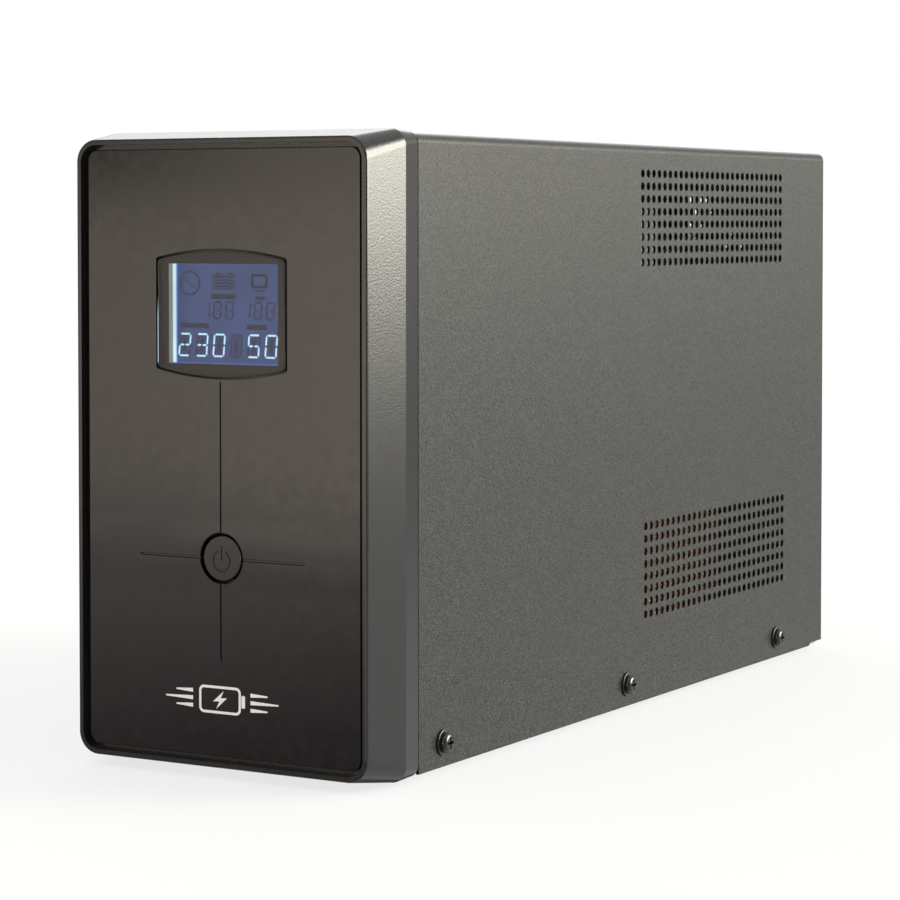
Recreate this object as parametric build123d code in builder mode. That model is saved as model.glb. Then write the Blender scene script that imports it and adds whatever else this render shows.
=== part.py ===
"""Tower uninterruptible power supply, built piece by piece.

Frame: +X to the right as seen from the front, -Y out of the front face, +Z up.
The origin is on the floor, at the middle of the overall width and depth.
"""

import math
import os

from build123d import *

# ---------------------------------------------------------------- driving dimensions
CASE_W = 123.2
CASE_H = 220.0
COVER_D = 356.0
BEZEL_D = 31.0
BREAKER_STICKOUT = 3.0
SHEET = 1.0
PLATE = 1.2
BEND_R = 3.3
RELIEF_L, RELIEF_H = 14.0, 1.2
FOOT_H = 2.5

FRONT_Y = -(BEZEL_D + COVER_D + BREAKER_STICKOUT) / 2
JOINT_Y = FRONT_Y + BEZEL_D
COVER_REAR_Y = JOINT_Y + COVER_D
BASE_Z = FOOT_H
MID_Z = BASE_Z + CASE_H / 2
TOP_Z = BASE_Z + CASE_H
INNER_HALF_W = CASE_W / 2 - SHEET

# Bezel and glossy panel
RING_W, RING_H, RING_R = 120.0, 216.9, 8.0
CREST_SETBACK, CREST_PROUD, CREST_R = 20.6, 1.35, 6.0
BEZEL_GAP, BEZEL_REAR_PROUD, BEZEL_REAR_R = 0.6, 0.6, 3.9
BEZEL_FRONT_EDGE_R, BEZEL_REAR_EDGE_R = 0.7, 1.0
LIP, GROOVE, PANEL_RECESS, PANEL_T, FLOOR_T = 1.8, 1.8, 1.85, 2.0, 2.5
PANEL_W = RING_W - 2 * (LIP + GROOVE)
PANEL_H = RING_H - 2 * (LIP + GROOVE)
PANEL_R = 3.8
PANEL_Y = FRONT_Y + PANEL_RECESS
FLOOR_Y = PANEL_Y + PANEL_T
FLOOR_BACK_Y = FLOOR_Y + FLOOR_T

# Display
LENS_W, LENS_MID_H, LENS_END_H, LENS_R, LENS_GAP = 53.3, 43.6, 37.4, 1.2, 0.4
LENS_Z = BASE_Z + 158.0
GLASS_W, GLASS_H, GLASS_T, GLASS_DEPTH = 51.2, 40.0, 2.8, 6.0
BACKLIGHT_T = 4.0
BOARD_DEPTH, BOARD_T = 17.15, 1.6
DISPLAY_BOARD_Y = PANEL_Y + BOARD_DEPTH

# Power button
BUTTON_Z = BASE_Z + 73.8
BUTTON_HOLE_R, BUTTON_R, BUTTON_RECESS, BUTTON_TRAVEL = 8.8, 8.0, 0.6, 0.6
CROSS_HALF_W, CROSS_DEPTH, CROSS_TAPER = 0.5, 0.45, 25.0
CROSS_POINTED_TIP, CROSS_BLUNT_TIP = 2.0, 0.3
PANEL_EDGE_R = 0.3
CROSS_TOP_Z = BASE_Z + 134.8
CROSS_BOTTOM_Z = BASE_Z + 38.0
CROSS_HALF_SPAN = 34.8

# Vents in the cover
VENT_PITCH, VENT_R, VENT_COLUMNS, VENT_ROWS = 5.0, 1.6, 28, 8
UPPER_VENT = (JOINT_Y + 173.0, BASE_Z + 208.6)
LOWER_VENT = (JOINT_Y + 176.4, BASE_Z + 69.1)

# Screws
SIDE_SCREW_DEPTHS = (16.9, 160.0, 305.2)
SIDE_SCREW_Z = BASE_Z + 8.6
SCREW_R, SCREW_HOLE_R = 2.0, 2.15
HEAD_R, HEAD_H = 3.7, 2.2
WASHER_R, WASHER_T = 4.8, 0.9

# Tray and rear panel
TRAY_TOP_Z = BASE_Z + PLATE
TRAY_HALF_W = INNER_HALF_W - 0.2
FLANGE_H = 16.0
REAR_FACE_Y = COVER_REAR_Y - 1.0
REAR_BACK_Y = REAR_FACE_Y - PLATE
FRONT_PLATE_Y = JOINT_Y + 1.0
FOOT_R, FOOT_X, FOOT_INSET, FOOT_STUD_R = 9.0, 44.0, 38.0, 3.0
FOOT_MID_Y = (JOINT_Y + COVER_REAR_Y) / 2
FOOT_PITCH_Y = COVER_D - 2 * FOOT_INSET

# Batteries
BATTERY_L, BATTERY_W, BATTERY_H = 151.0, 94.0, 65.0
BATTERY_X, BATTERY_Y = -4.0, JOINT_Y + 4.0 + BATTERY_L / 2
BATTERY_WALL, LID_T, PAD_T, CELLS = 3.0, 5.0, 1.0, 6
BATTERY_LEVELS = {
    "lower": TRAY_TOP_Z + PAD_T,
    "upper": TRAY_TOP_Z + 2 * PAD_T + BATTERY_H,
}
STACK_TOP_Z = BATTERY_LEVELS["upper"] + BATTERY_H
TAB_INSET, TAB_OUT, TAB_W, TAB_T = 11.0, 7.5, 6.3, 0.8

# Transformer
CORE_L, CORE_H, CORE_STACK = 114.0, 95.0, 55.0
LEG, WINDOW_H = 38.0, 57.0
WINDOW_L = (CORE_L / 2 - LEG / 2) / 2
CORE_Y = JOINT_Y + 248.0
CORE_Z = TRAY_TOP_Z + CORE_H / 2
FRAME_T = 2.0

# Main board
SHELF_Z = STACK_TOP_Z + 12.0
SHELF_T = 1.2
BOARD_Z = SHELF_Z + SHELF_T + 6.0
BOARD_TOP_Z = BOARD_Z + BOARD_T
BOARD_W, BOARD_FRONT_Y, BOARD_BACK_Y = 106.0, JOINT_Y + 25.0, JOINT_Y + 270.0
BOARD_MID_Y = (BOARD_FRONT_Y + BOARD_BACK_Y) / 2
BOARD_L = BOARD_BACK_Y - BOARD_FRONT_Y
STANDOFF_INSET = 8.0
SINK_L, SINK_H, SINK_T = 120.0, 42.0, 17.0
SINK_Y = JOINT_Y + 131.0
SINK_X, SINK_ROOT_T, SINK_SKIN_T, SINK_FINS = 42.0, 3.0, 1.5, 7

# Fan
FAN_SIZE, FAN_D, FAN_BORE_R, FAN_SCREW_PITCH = 80.0, 25.0, 38.0, 71.5
FAN_Z = BASE_Z + 167.0
FAN_FRONT_Y = REAR_BACK_Y - FAN_D
HUB_R, BLADE_R, SHAFT_R, BLADES = 16.5, 37.2, 1.5, 7

# Rear sockets
OUTLET_X = {"left": -27.0, "right": 27.0}
OUTLET_Z = BASE_Z + 37.0
OUTLET_SIZE, OUTLET_FLANGE, OUTLET_BODY_R = 49.0, 2.0, 21.0
OUTLET_RECESS_R, OUTLET_RECESS_D, OUTLET_DEPTH = 19.3, 17.0, 32.0
OUTLET_PIN_R, OUTLET_PIN_HALF_PITCH = 2.6, 9.5
INLET_X, INLET_Z = -34.0, BASE_Z + 89.0
INLET_W, INLET_H, INLET_DEPTH = 27.0, 19.6, 24.0
BREAKER_X, BREAKER_Z = 0.0, BASE_Z + 89.0
BREAKER_R, RESET_R = 5.5, 3.2
USB_X, USB_Z, USB_W, USB_H = 26.0, BASE_Z + 102.0, 12.0, 11.0
JACK_X, JACK_Z, JACK_W, JACK_H, JACK_D = 34.0, BASE_Z + 82.0, 31.0, 13.4, 18.0
JACK_PITCH, PORT_DEPTH, PORT_CONTACTS, CONTACT_PITCH = 14.6, 12.0, 8, 1.02

os.makedirs("parts", exist_ok=True)
pieces = {}


def face_at(y, z=0.0, x=0.0):
    """Upright plane at y: sketch x is +X, sketch y is +Z, and its normal is -Y."""
    return Plane(origin=(x, y, z), x_dir=(1, 0, 0), z_dir=(0, -1, 0))


def block(x, y, z, mode=Mode.ADD):
    """Box between the low and high values of x, y and z."""
    with Locations(((x[0] + x[1]) / 2, (y[0] + y[1]) / 2, (z[0] + z[1]) / 2)):
        Box(x[1] - x[0], y[1] - y[0], z[1] - z[0], mode=mode)


def rounded_block(size, centre_z, radius, y, mode=Mode.ADD):
    """Rounded rectangle centred on x = 0, running from y[0] to y[1]."""
    with BuildSketch(face_at(y[0], centre_z)) as profile:
        RectangleRounded(size[0], size[1], radius)
    extrude(profile.sketch, amount=y[0] - y[1], mode=mode)


def rod(centre, radius, y, mode=Mode.ADD):
    """Cylinder along Y, centred on (x, z), from y[0] to y[1]."""
    with BuildSketch(face_at(y[0], centre[1], centre[0])) as profile:
        Circle(radius)
    extrude(profile.sketch, amount=y[0] - y[1], mode=mode)


def pan_screw(radius, length, head_radius, head_height, washer=(0, 0)):
    """Domed screw with a cross recess, and a washer of (radius, thickness) if it has one.

    The head is up, and the seat is at z = 0.
    """
    washer_r, washer_t = washer
    top_z = washer_t + head_height
    with BuildPart() as screw:
        if washer_t:
            with Locations((0, 0, washer_t / 2)):
                Cylinder(washer_r, washer_t)
            fillet(screw.faces().sort_by(Axis.Z)[-1].edges(), washer_t * 0.3)
        with Locations((0, 0, top_z / 2)):
            Cylinder(head_radius, top_z)
        fillet(screw.faces().sort_by(Axis.Z)[-1].edges(), head_height * 0.75)
        with Locations((0, 0, -length / 2)):
            Cylinder(radius, length)
        with BuildSketch(Plane.XY.offset(top_z)):
            Rectangle(head_radius * 1.15, head_radius * 0.24)
            Rectangle(head_radius * 0.24, head_radius * 1.15)
        extrude(amount=-head_height * 0.62, mode=Mode.SUBTRACT)
    return screw.part


def lead(points, radius, bend):
    """Insulated wire held along its route: straight runs joined by tangent arcs."""
    with BuildPart() as wire:
        with BuildLine():
            route = FilletPolyline(*points, radius=bend)
        with BuildSketch(Plane(origin=route @ 0, z_dir=route % 0)):
            Circle(radius)
        sweep(path=route)
    return wire.part


# ---------------------------------------------------------------- sheet metal
with BuildPart() as side_cover:
    with BuildSketch(face_at(JOINT_Y)):
        with Locations((0, MID_Z)):
            Rectangle(CASE_W, CASE_H)
        with Locations((0, MID_Z - SHEET / 2)):
            Rectangle(2 * INNER_HALF_W, CASE_H - SHEET, mode=Mode.SUBTRACT)
    extrude(amount=-COVER_D)
    long_edges = side_cover.edges().filter_by(Axis.Y)
    fillet(long_edges.filter_by(lambda edge: edge.center().Z > TOP_Z - 0.1), BEND_R)
    long_edges = side_cover.edges().filter_by(Axis.Y)
    inner_top = long_edges.filter_by(lambda edge: abs(edge.center().Z - TOP_Z + SHEET) < 0.1)
    fillet(inner_top.filter_by(lambda edge: abs(abs(edge.center().X) - INNER_HALF_W) < 0.1), BEND_R - SHEET)
    with BuildSketch(Plane.YZ.offset(CASE_W / 2 + 1)):
        for first_y, top_z in (UPPER_VENT, LOWER_VENT):
            centre_y = first_y + VENT_PITCH * (VENT_COLUMNS - 1) / 2
            centre_z = top_z - VENT_PITCH * (VENT_ROWS - 1) / 2
            with Locations((centre_y, centre_z)):
                with GridLocations(VENT_PITCH, VENT_PITCH, VENT_COLUMNS, VENT_ROWS):
                    Circle(VENT_R)
        with Locations(*[(JOINT_Y + depth, SIDE_SCREW_Z) for depth in SIDE_SCREW_DEPTHS]):
            Circle(SCREW_HOLE_R)
    extrude(amount=-CASE_W - 2, mode=Mode.SUBTRACT)
    with BuildSketch(Plane.YZ.offset(CASE_W / 2 + 1)):
        with BuildLine():
            relief_y = (COVER_REAR_Y - RELIEF_L, COVER_REAR_Y - RELIEF_L + 2, COVER_REAR_Y + 1)
            relief_z = (BASE_Z - 1, BASE_Z, BASE_Z + RELIEF_H)
            Polyline(
                (relief_y[0], relief_z[0]),
                (relief_y[0], relief_z[1]),
                (relief_y[1], relief_z[2]),
                (relief_y[2], relief_z[2]),
                (relief_y[2], relief_z[0]),
                close=True,
            )
        make_face()
    extrude(amount=-CASE_W - 2, mode=Mode.SUBTRACT)
pieces["side_cover"] = side_cover

with BuildPart() as base_tray:
    tray_front_y = FRONT_PLATE_Y + PLATE
    tray_back_y = REAR_BACK_Y - PLATE
    block((-TRAY_HALF_W, TRAY_HALF_W), (tray_front_y, tray_back_y), (BASE_Z, TRAY_TOP_Z))
    for side in (-1, 1):
        flange_x = sorted((side * TRAY_HALF_W, side * (TRAY_HALF_W - PLATE)))
        block(flange_x, (tray_front_y, tray_back_y), (BASE_Z, BASE_Z + FLANGE_H))
    block((-TRAY_HALF_W + 3, TRAY_HALF_W - 3), (tray_back_y - PLATE, tray_back_y), (BASE_Z, BASE_Z + 10))
    with BuildSketch(Plane.YZ.offset(CASE_W / 2)):
        with Locations(*[(JOINT_Y + depth, SIDE_SCREW_Z) for depth in SIDE_SCREW_DEPTHS]):
            Circle(SCREW_HOLE_R)
    extrude(amount=-CASE_W, mode=Mode.SUBTRACT)
    with BuildSketch(Plane.XY.offset(BASE_Z)):
        with Locations((0, CORE_Y), (0, COVER_REAR_Y - 40)):
            with GridLocations(7, 0, 12, 1):
                SlotOverall(30, 3, rotation=90)
        with Locations((0, FOOT_MID_Y)):
            with GridLocations(2 * FOOT_X, FOOT_PITCH_Y, 2, 2):
                Circle(FOOT_STUD_R + 0.1)
    extrude(amount=PLATE, mode=Mode.SUBTRACT)
    for x in (-50, 0, 50):
        rod((x, BASE_Z + 6), 1.6, (tray_back_y - 2 * PLATE, tray_back_y + 1), Mode.SUBTRACT)
pieces["base_tray"] = base_tray

with BuildPart() as front_plate:
    front_plate_y = (FRONT_PLATE_Y, FRONT_PLATE_Y + PLATE)
    block((-TRAY_HALF_W, TRAY_HALF_W), front_plate_y, (BASE_Z + 0.3, TOP_Z - SHEET - 0.3))
    fillet(front_plate.edges().filter_by(Axis.Y).group_by(Axis.Z)[-1], BEND_R)
    block((-12, 12), (JOINT_Y, JOINT_Y + 4), (LENS_Z - 15, LENS_Z + 5), Mode.SUBTRACT)
    for x in (-50, 50):
        for z in (BASE_Z + 26, TOP_Z - 14):
            rod((x, z), 1.7, (JOINT_Y, JOINT_Y + 4), Mode.SUBTRACT)
pieces["front_plate"] = front_plate

with BuildPart() as rear_panel:
    block((-TRAY_HALF_W, TRAY_HALF_W), (REAR_BACK_Y, REAR_FACE_Y), (BASE_Z + 1.5, TOP_Z - SHEET - 0.3))
    fillet(rear_panel.edges().filter_by(Axis.Y).group_by(Axis.Z)[-1], BEND_R)
    with BuildSketch(face_at(REAR_BACK_Y)):
        for radius, count in ((8, 6), (14, 12), (20, 18), (26, 24), (32, 30)):
            with Locations((0, FAN_Z)):
                with PolarLocations(radius, count):
                    Circle(2.1)
        with Locations((0, FAN_Z)):
            with GridLocations(FAN_SCREW_PITCH, FAN_SCREW_PITCH, 2, 2):
                Circle(SCREW_HOLE_R)
        with Locations(*[(x, OUTLET_Z) for x in OUTLET_X.values()]):
            Circle(OUTLET_BODY_R + 0.3)
        with Locations((INLET_X, INLET_Z)):
            Rectangle(INLET_W + 0.6, INLET_H + 0.6)
        with Locations((BREAKER_X, BREAKER_Z)):
            Circle(BREAKER_R + 0.2)
        with Locations((USB_X, USB_Z)):
            Rectangle(USB_W + 0.4, USB_H + 0.4)
        with Locations((JACK_X, JACK_Z)):
            Rectangle(JACK_W + 0.4, JACK_H + 0.4)
        with Locations(*[(x, BASE_Z + 6) for x in (-50, 0, 50)]):
            Circle(1.7)
    extrude(amount=-PLATE, mode=Mode.SUBTRACT)
pieces["rear_panel"] = rear_panel

# ---------------------------------------------------------------- bezel and glossy panel
with BuildPart() as bezel_frame:
    rear_y = JOINT_Y - BEZEL_GAP
    sections = (
        (FRONT_Y, RING_W, RING_H, RING_R),
        (FRONT_Y + CREST_SETBACK, CASE_W + 2 * CREST_PROUD, CASE_H + 2 * CREST_PROUD, CREST_R),
        (rear_y, CASE_W + 2 * BEZEL_REAR_PROUD, CASE_H + 2 * BEZEL_REAR_PROUD, BEZEL_REAR_R),
    )
    for y, width, height, radius in sections:
        with BuildSketch(face_at(y, MID_Z)):
            RectangleRounded(width, height, radius)
    loft(ruled=True)
    fillet(bezel_frame.faces().sort_by(Axis.Y)[0].outer_wire().edges(), BEZEL_FRONT_EDGE_R)
    fillet(bezel_frame.faces().sort_by(Axis.Y)[-1].outer_wire().edges(), BEZEL_REAR_EDGE_R)
    rounded_block((115.4, 212.3), MID_Z, 3, (FLOOR_BACK_Y, rear_y), Mode.SUBTRACT)
    well = (RING_W - 2 * LIP, RING_H - 2 * LIP)
    rounded_block(well, MID_Z, RING_R - LIP, (FRONT_Y, FLOOR_Y), Mode.SUBTRACT)
    rounded_block((GLASS_W + 1, LENS_END_H - 1.4), LENS_Z, 1, (FLOOR_Y, FLOOR_BACK_Y), Mode.SUBTRACT)
    rod((0, BUTTON_Z), BUTTON_HOLE_R, (FLOOR_Y, FLOOR_BACK_Y), Mode.SUBTRACT)
    for x in (-50, 50):
        for z in (BASE_Z + 26, TOP_Z - 14):
            rod((x, z), 4, (FLOOR_BACK_Y, FRONT_PLATE_Y))
            rod((x, z), 1.5, (FRONT_PLATE_Y - 12, FRONT_PLATE_Y), Mode.SUBTRACT)
    for x in (-29, 29):
        for z in (BUTTON_Z - 8, LENS_Z + 27):
            rod((x, z), 3, (FLOOR_BACK_Y, DISPLAY_BOARD_Y))
            rod((x, z), 1.1, (DISPLAY_BOARD_Y - 8, DISPLAY_BOARD_Y), Mode.SUBTRACT)
pieces["bezel_frame"] = bezel_frame


def lens_block(gap, y, mode=Mode.ADD):
    """Barrel-shaped block, grown by gap all round."""
    with BuildSketch(face_at(y[0], LENS_Z)) as barrel:
        with BuildLine():
            half_w = LENS_W / 2 + gap
            end, mid = LENS_END_H / 2 + gap, LENS_MID_H / 2 + gap
            ThreePointArc((-half_w, end), (0, mid), (half_w, end))
            Line((half_w, end), (half_w, -end))
            ThreePointArc((half_w, -end), (0, -mid), (-half_w, -end))
            Line((-half_w, -end), (-half_w, end))
        make_face()
        fillet(barrel.vertices(), LENS_R)
    extrude(barrel.sketch, amount=y[0] - y[1], mode=mode)


def cross_groove(tip, end, tip_length):
    """Cuts a fine groove with sloped sides, from its point at tip to end."""
    run = (Vector(*end) - Vector(*tip)).normalized()
    across = Vector(-run.Y, run.X) * CROSS_HALF_W
    first, last = Vector(*tip), Vector(*end)
    shoulder = first + run * tip_length
    outline = (first, shoulder + across, last + across, last - across, shoulder - across)
    with BuildSketch(face_at(PANEL_Y)) as groove:
        Polygon(*[(point.X, point.Y) for point in outline], align=None)
    extrude(groove.sketch, amount=-CROSS_DEPTH, taper=CROSS_TAPER, mode=Mode.SUBTRACT)


with BuildPart() as front_panel:
    rounded_block((PANEL_W, PANEL_H), MID_Z, PANEL_R, (PANEL_Y, FLOOR_Y))
    lens_block(LENS_GAP, (PANEL_Y, FLOOR_Y), Mode.SUBTRACT)
    rod((0, BUTTON_Z), BUTTON_HOLE_R, (PANEL_Y, FLOOR_Y), Mode.SUBTRACT)
    fillet(front_panel.faces().sort_by(Axis.Y)[0].edges(), PANEL_EDGE_R)
    for tip, tip_length in (
        ((0, CROSS_BOTTOM_Z), CROSS_POINTED_TIP),
        ((0, CROSS_TOP_Z), CROSS_BLUNT_TIP),
        ((-CROSS_HALF_SPAN, BUTTON_Z), CROSS_POINTED_TIP),
        ((CROSS_HALF_SPAN, BUTTON_Z), CROSS_POINTED_TIP),
    ):
        cross_groove(tip, (0, BUTTON_Z), tip_length)
pieces["front_panel"] = front_panel

with BuildPart() as display_lens:
    lens_block(0, (PANEL_Y, FLOOR_Y))
    fillet(display_lens.faces().sort_by(Axis.Y)[0].edges(), 0.25)
pieces["display_lens"] = display_lens

# ---------------------------------------------------------------- power button and its switch
CAP_Y = PANEL_Y + BUTTON_RECESS
COLLAR_Y = FLOOR_BACK_Y + 0.3
COLLAR_R, COLLAR_T = 10.0, 1.2
PLUNGER_R, PLUNGER_L, SWITCH_H = 1.7, 3.2, 3.6
PLUNGER_Y = DISPLAY_BOARD_Y - SWITCH_H - 1.6
SYMBOL_R, SYMBOL_LINE, SYMBOL_DEPTH, SYMBOL_TAPER = 3.5, 0.9, 0.3, 30.0
SYMBOL_DROP, SYMBOL_OPENING, SYMBOL_BAR = -0.9, 2.9, 5.3

with BuildPart() as power_button:
    rod((0, BUTTON_Z), BUTTON_R, (CAP_Y, COLLAR_Y))
    fillet(power_button.faces().sort_by(Axis.Y)[0].edges(), 0.5)
    rod((0, BUTTON_Z), COLLAR_R, (COLLAR_Y, COLLAR_Y + COLLAR_T))
    rod((0, BUTTON_Z), 2.5, (COLLAR_Y + COLLAR_T, PLUNGER_Y))
    with BuildSketch(face_at(CAP_Y, BUTTON_Z)):
        with Locations((0, SYMBOL_DROP)):
            Circle(SYMBOL_R + SYMBOL_LINE / 2)
            Circle(SYMBOL_R - SYMBOL_LINE / 2, mode=Mode.SUBTRACT)
            Rectangle(SYMBOL_OPENING, 2 * SYMBOL_R, align=(Align.CENTER, Align.MIN), mode=Mode.SUBTRACT)
        with Locations((0, SYMBOL_DROP + SYMBOL_BAR / 2)):
            SlotOverall(SYMBOL_BAR, SYMBOL_LINE, rotation=90)
    extrude(amount=-SYMBOL_DEPTH, taper=SYMBOL_TAPER, mode=Mode.SUBTRACT)
pieces["power_button"] = power_button

with BuildPart() as switch_plunger:
    rod((0, BUTTON_Z), PLUNGER_R, (PLUNGER_Y, PLUNGER_Y + PLUNGER_L - BUTTON_TRAVEL))
pieces["switch_plunger"] = switch_plunger

with BuildPart() as tact_switch:
    rounded_block((6, 6), BUTTON_Z, 0.5, (DISPLAY_BOARD_Y - SWITCH_H, DISPLAY_BOARD_Y))
    rod((0, BUTTON_Z), PLUNGER_R + 0.1, (PLUNGER_Y, PLUNGER_Y + PLUNGER_L + 0.2), Mode.SUBTRACT)
pieces["tact_switch"] = tact_switch

# ---------------------------------------------------------------- display
GLASS_Y = PANEL_Y + GLASS_DEPTH
HOLDER_W, HOLDER_H = GLASS_W + 6, GLASS_H + 6

with BuildPart() as lcd_glass:
    rounded_block((GLASS_W, GLASS_H), LENS_Z, 0.4, (GLASS_Y, GLASS_Y + GLASS_T))
pieces["lcd_glass"] = lcd_glass

with BuildPart() as backlight:
    rounded_block((GLASS_W, GLASS_H), LENS_Z, 0.4, (GLASS_Y + GLASS_T, GLASS_Y + GLASS_T + BACKLIGHT_T))
pieces["backlight"] = backlight

with BuildPart() as display_holder:
    rounded_block((HOLDER_W, HOLDER_H), LENS_Z, 1.5, (FLOOR_BACK_Y + 0.3, DISPLAY_BOARD_Y))
    rounded_block((GLASS_W + 0.3, GLASS_H + 0.3), LENS_Z, 0.5, (FLOOR_BACK_Y, DISPLAY_BOARD_Y), Mode.SUBTRACT)
pieces["display_holder"] = display_holder

with BuildPart() as display_board:
    block((-33, 33), (DISPLAY_BOARD_Y, DISPLAY_BOARD_Y + BOARD_T), (BUTTON_Z - 14, LENS_Z + 33))
    for x in (-29, 29):
        for z in (BUTTON_Z - 8, LENS_Z + 27):
            rod((x, z), 1.3, (DISPLAY_BOARD_Y, DISPLAY_BOARD_Y + BOARD_T), Mode.SUBTRACT)
    chip_y = DISPLAY_BOARD_Y + BOARD_T
    block((-7, 7), (chip_y, chip_y + 1.8), (LENS_Z - 40, LENS_Z - 26))
    block((-11, 11), (chip_y, chip_y + 6), (LENS_Z - 8, LENS_Z - 2))
pieces["display_board"] = display_board

# ---------------------------------------------------------------- fasteners and feet
cover_screw = pan_screw(SCREW_R, 6.0, HEAD_R, HEAD_H, (WASHER_R, WASHER_T))
board_screw = pan_screw(0.9, 6.0, 2.4, 1.4)
panel_screw = pan_screw(1.4, 5.0, 3.0, 1.8)

with BuildPart() as cover_screws:
    for depth in SIDE_SCREW_DEPTHS:
        for side in (-1, 1):
            seat = Plane(origin=(side * CASE_W / 2, JOINT_Y + depth, SIDE_SCREW_Z), z_dir=(side, 0, 0))
            with Locations(seat):
                add(cover_screw)
pieces["cover_screws"] = cover_screws

with BuildPart() as bezel_screws:
    for x in (-50, 50):
        for z in (BASE_Z + 26, TOP_Z - 14):
            with Locations(Plane(origin=(x, FRONT_PLATE_Y + PLATE, z), z_dir=(0, 1, 0))):
                add(panel_screw)
    for x in (-29, 29):
        for z in (BUTTON_Z - 8, LENS_Z + 27):
            with Locations(Plane(origin=(x, DISPLAY_BOARD_Y + BOARD_T, z), z_dir=(0, 1, 0))):
                add(board_screw)
pieces["bezel_screws"] = bezel_screws

with BuildPart() as rear_panel_screws:
    for x in (-50, 0, 50):
        with Locations(Plane(origin=(x, REAR_FACE_Y, BASE_Z + 6), z_dir=(0, 1, 0))):
            add(panel_screw)
pieces["rear_panel_screws"] = rear_panel_screws

with BuildPart() as rubber_feet:
    with BuildSketch(Plane.XY):
        with Locations((0, FOOT_MID_Y)):
            with GridLocations(2 * FOOT_X, FOOT_PITCH_Y, 2, 2):
                Circle(FOOT_R)
    extrude(amount=FOOT_H)
    chamfer(rubber_feet.faces().group_by(Axis.Z)[0].edges(), 0.6)
    with BuildSketch(Plane.XY.offset(FOOT_H)):
        with Locations((0, FOOT_MID_Y)):
            with GridLocations(2 * FOOT_X, FOOT_PITCH_Y, 2, 2):
                Circle(FOOT_STUD_R)
    extrude(amount=PLATE)
pieces["rubber_feet"] = rubber_feet

# ---------------------------------------------------------------- batteries
BATTERY_LEFT = BATTERY_X - BATTERY_W / 2
LID_X = BATTERY_X + BATTERY_W / 2 - LID_T
lid_face_x = LID_X + LID_T
battery_y = (BATTERY_Y - BATTERY_L / 2, BATTERY_Y + BATTERY_L / 2)

for level, floor_z in BATTERY_LEVELS.items():
    battery_z = (floor_z, floor_z + BATTERY_H)
    inner_y = (battery_y[0] + BATTERY_WALL, battery_y[1] - BATTERY_WALL)
    inner_z = (battery_z[0] + BATTERY_WALL, battery_z[1] - BATTERY_WALL)

    with BuildPart() as battery_case:
        block((BATTERY_LEFT, LID_X), battery_y, battery_z)
        fillet(battery_case.edges().filter_by(Axis.X), 2.5)
        block((BATTERY_LEFT + BATTERY_WALL, LID_X), inner_y, inner_z, Mode.SUBTRACT)
    pieces[f"battery_case_{level}"] = battery_case

    with BuildPart() as battery_lid:
        block((LID_X, LID_X + LID_T), battery_y, battery_z)
        fillet(battery_lid.edges().filter_by(Axis.X), 2.5)
        chamfer(battery_lid.faces().sort_by(Axis.X)[-1].edges(), 1.0)
        block((LID_X + LID_T, LID_X + LID_T + 0.8), (BATTERY_Y - 50, BATTERY_Y + 50),
              (floor_z + BATTERY_H / 2 - 9, floor_z + BATTERY_H / 2 + 9))
    pieces[f"battery_lid_{level}"] = battery_lid

    with BuildPart() as battery_cells:
        cell_l = (inner_y[1] - inner_y[0]) / CELLS
        cell_x = (BATTERY_LEFT + BATTERY_WALL + 0.3, LID_X - 4)
        for cell in range(CELLS):
            cell_y = (inner_y[0] + cell * cell_l + 0.6, inner_y[0] + (cell + 1) * cell_l - 0.6)
            block(cell_x, cell_y, (inner_z[0] + 0.3, inner_z[1] - 0.3))
    pieces[f"battery_cells_{level}"] = battery_cells

with BuildPart() as battery_terminals:
    for floor_z in BATTERY_LEVELS.values():
        for end in (-1, 1):
            tab_y = BATTERY_Y + end * (BATTERY_L / 2 - TAB_INSET)
            tab_z = floor_z + BATTERY_H / 2
            pad_x, blade_x = (lid_face_x, lid_face_x + 1.2), (lid_face_x + 1.2, lid_face_x + TAB_OUT)
            block(pad_x, (tab_y - 4, tab_y + 4), (tab_z - 4, tab_z + 4))
            block(blade_x, (tab_y - TAB_W / 2, tab_y + TAB_W / 2), (tab_z - TAB_T / 2, tab_z + TAB_T / 2))
pieces["battery_terminals"] = battery_terminals

with BuildPart() as battery_pads:
    for pad_top_z in BATTERY_LEVELS.values():
        pad_x, pad_y = (BATTERY_LEFT + 6, LID_X - 6), (battery_y[0] + 8, battery_y[1] - 8)
        block(pad_x, pad_y, (pad_top_z - PAD_T, pad_top_z))
pieces["battery_pads"] = battery_pads

with BuildPart() as battery_bracket:
    strap_y = (BATTERY_Y - 15, BATTERY_Y + 15)
    left, right = BATTERY_LEFT - 0.5, LID_X + LID_T + 1.5
    block((left - PLATE, right + PLATE), strap_y, (STACK_TOP_Z + 0.3, STACK_TOP_Z + 0.3 + PLATE))
    block((left - PLATE, left), strap_y, (TRAY_TOP_Z, STACK_TOP_Z + 0.3))
    block((right, right + PLATE), strap_y, (TRAY_TOP_Z, STACK_TOP_Z + 0.3))
    block((left - 6, left - PLATE), strap_y, (TRAY_TOP_Z, TRAY_TOP_Z + PLATE))
    block((right + PLATE, right + 10), strap_y, (TRAY_TOP_Z, TRAY_TOP_Z + PLATE))
pieces["battery_bracket"] = battery_bracket

# ---------------------------------------------------------------- transformer
with BuildPart() as transformer_core:
    with BuildSketch(Plane.YZ.offset(-CORE_STACK / 2)):
        with Locations((CORE_Y, CORE_Z)):
            Rectangle(CORE_L, CORE_H)
        for side in (-1, 1):
            with Locations((CORE_Y + side * (LEG + WINDOW_L) / 2, CORE_Z)):
                Rectangle(WINDOW_L, WINDOW_H, mode=Mode.SUBTRACT)
    extrude(amount=CORE_STACK)
pieces["transformer_core"] = transformer_core

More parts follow.
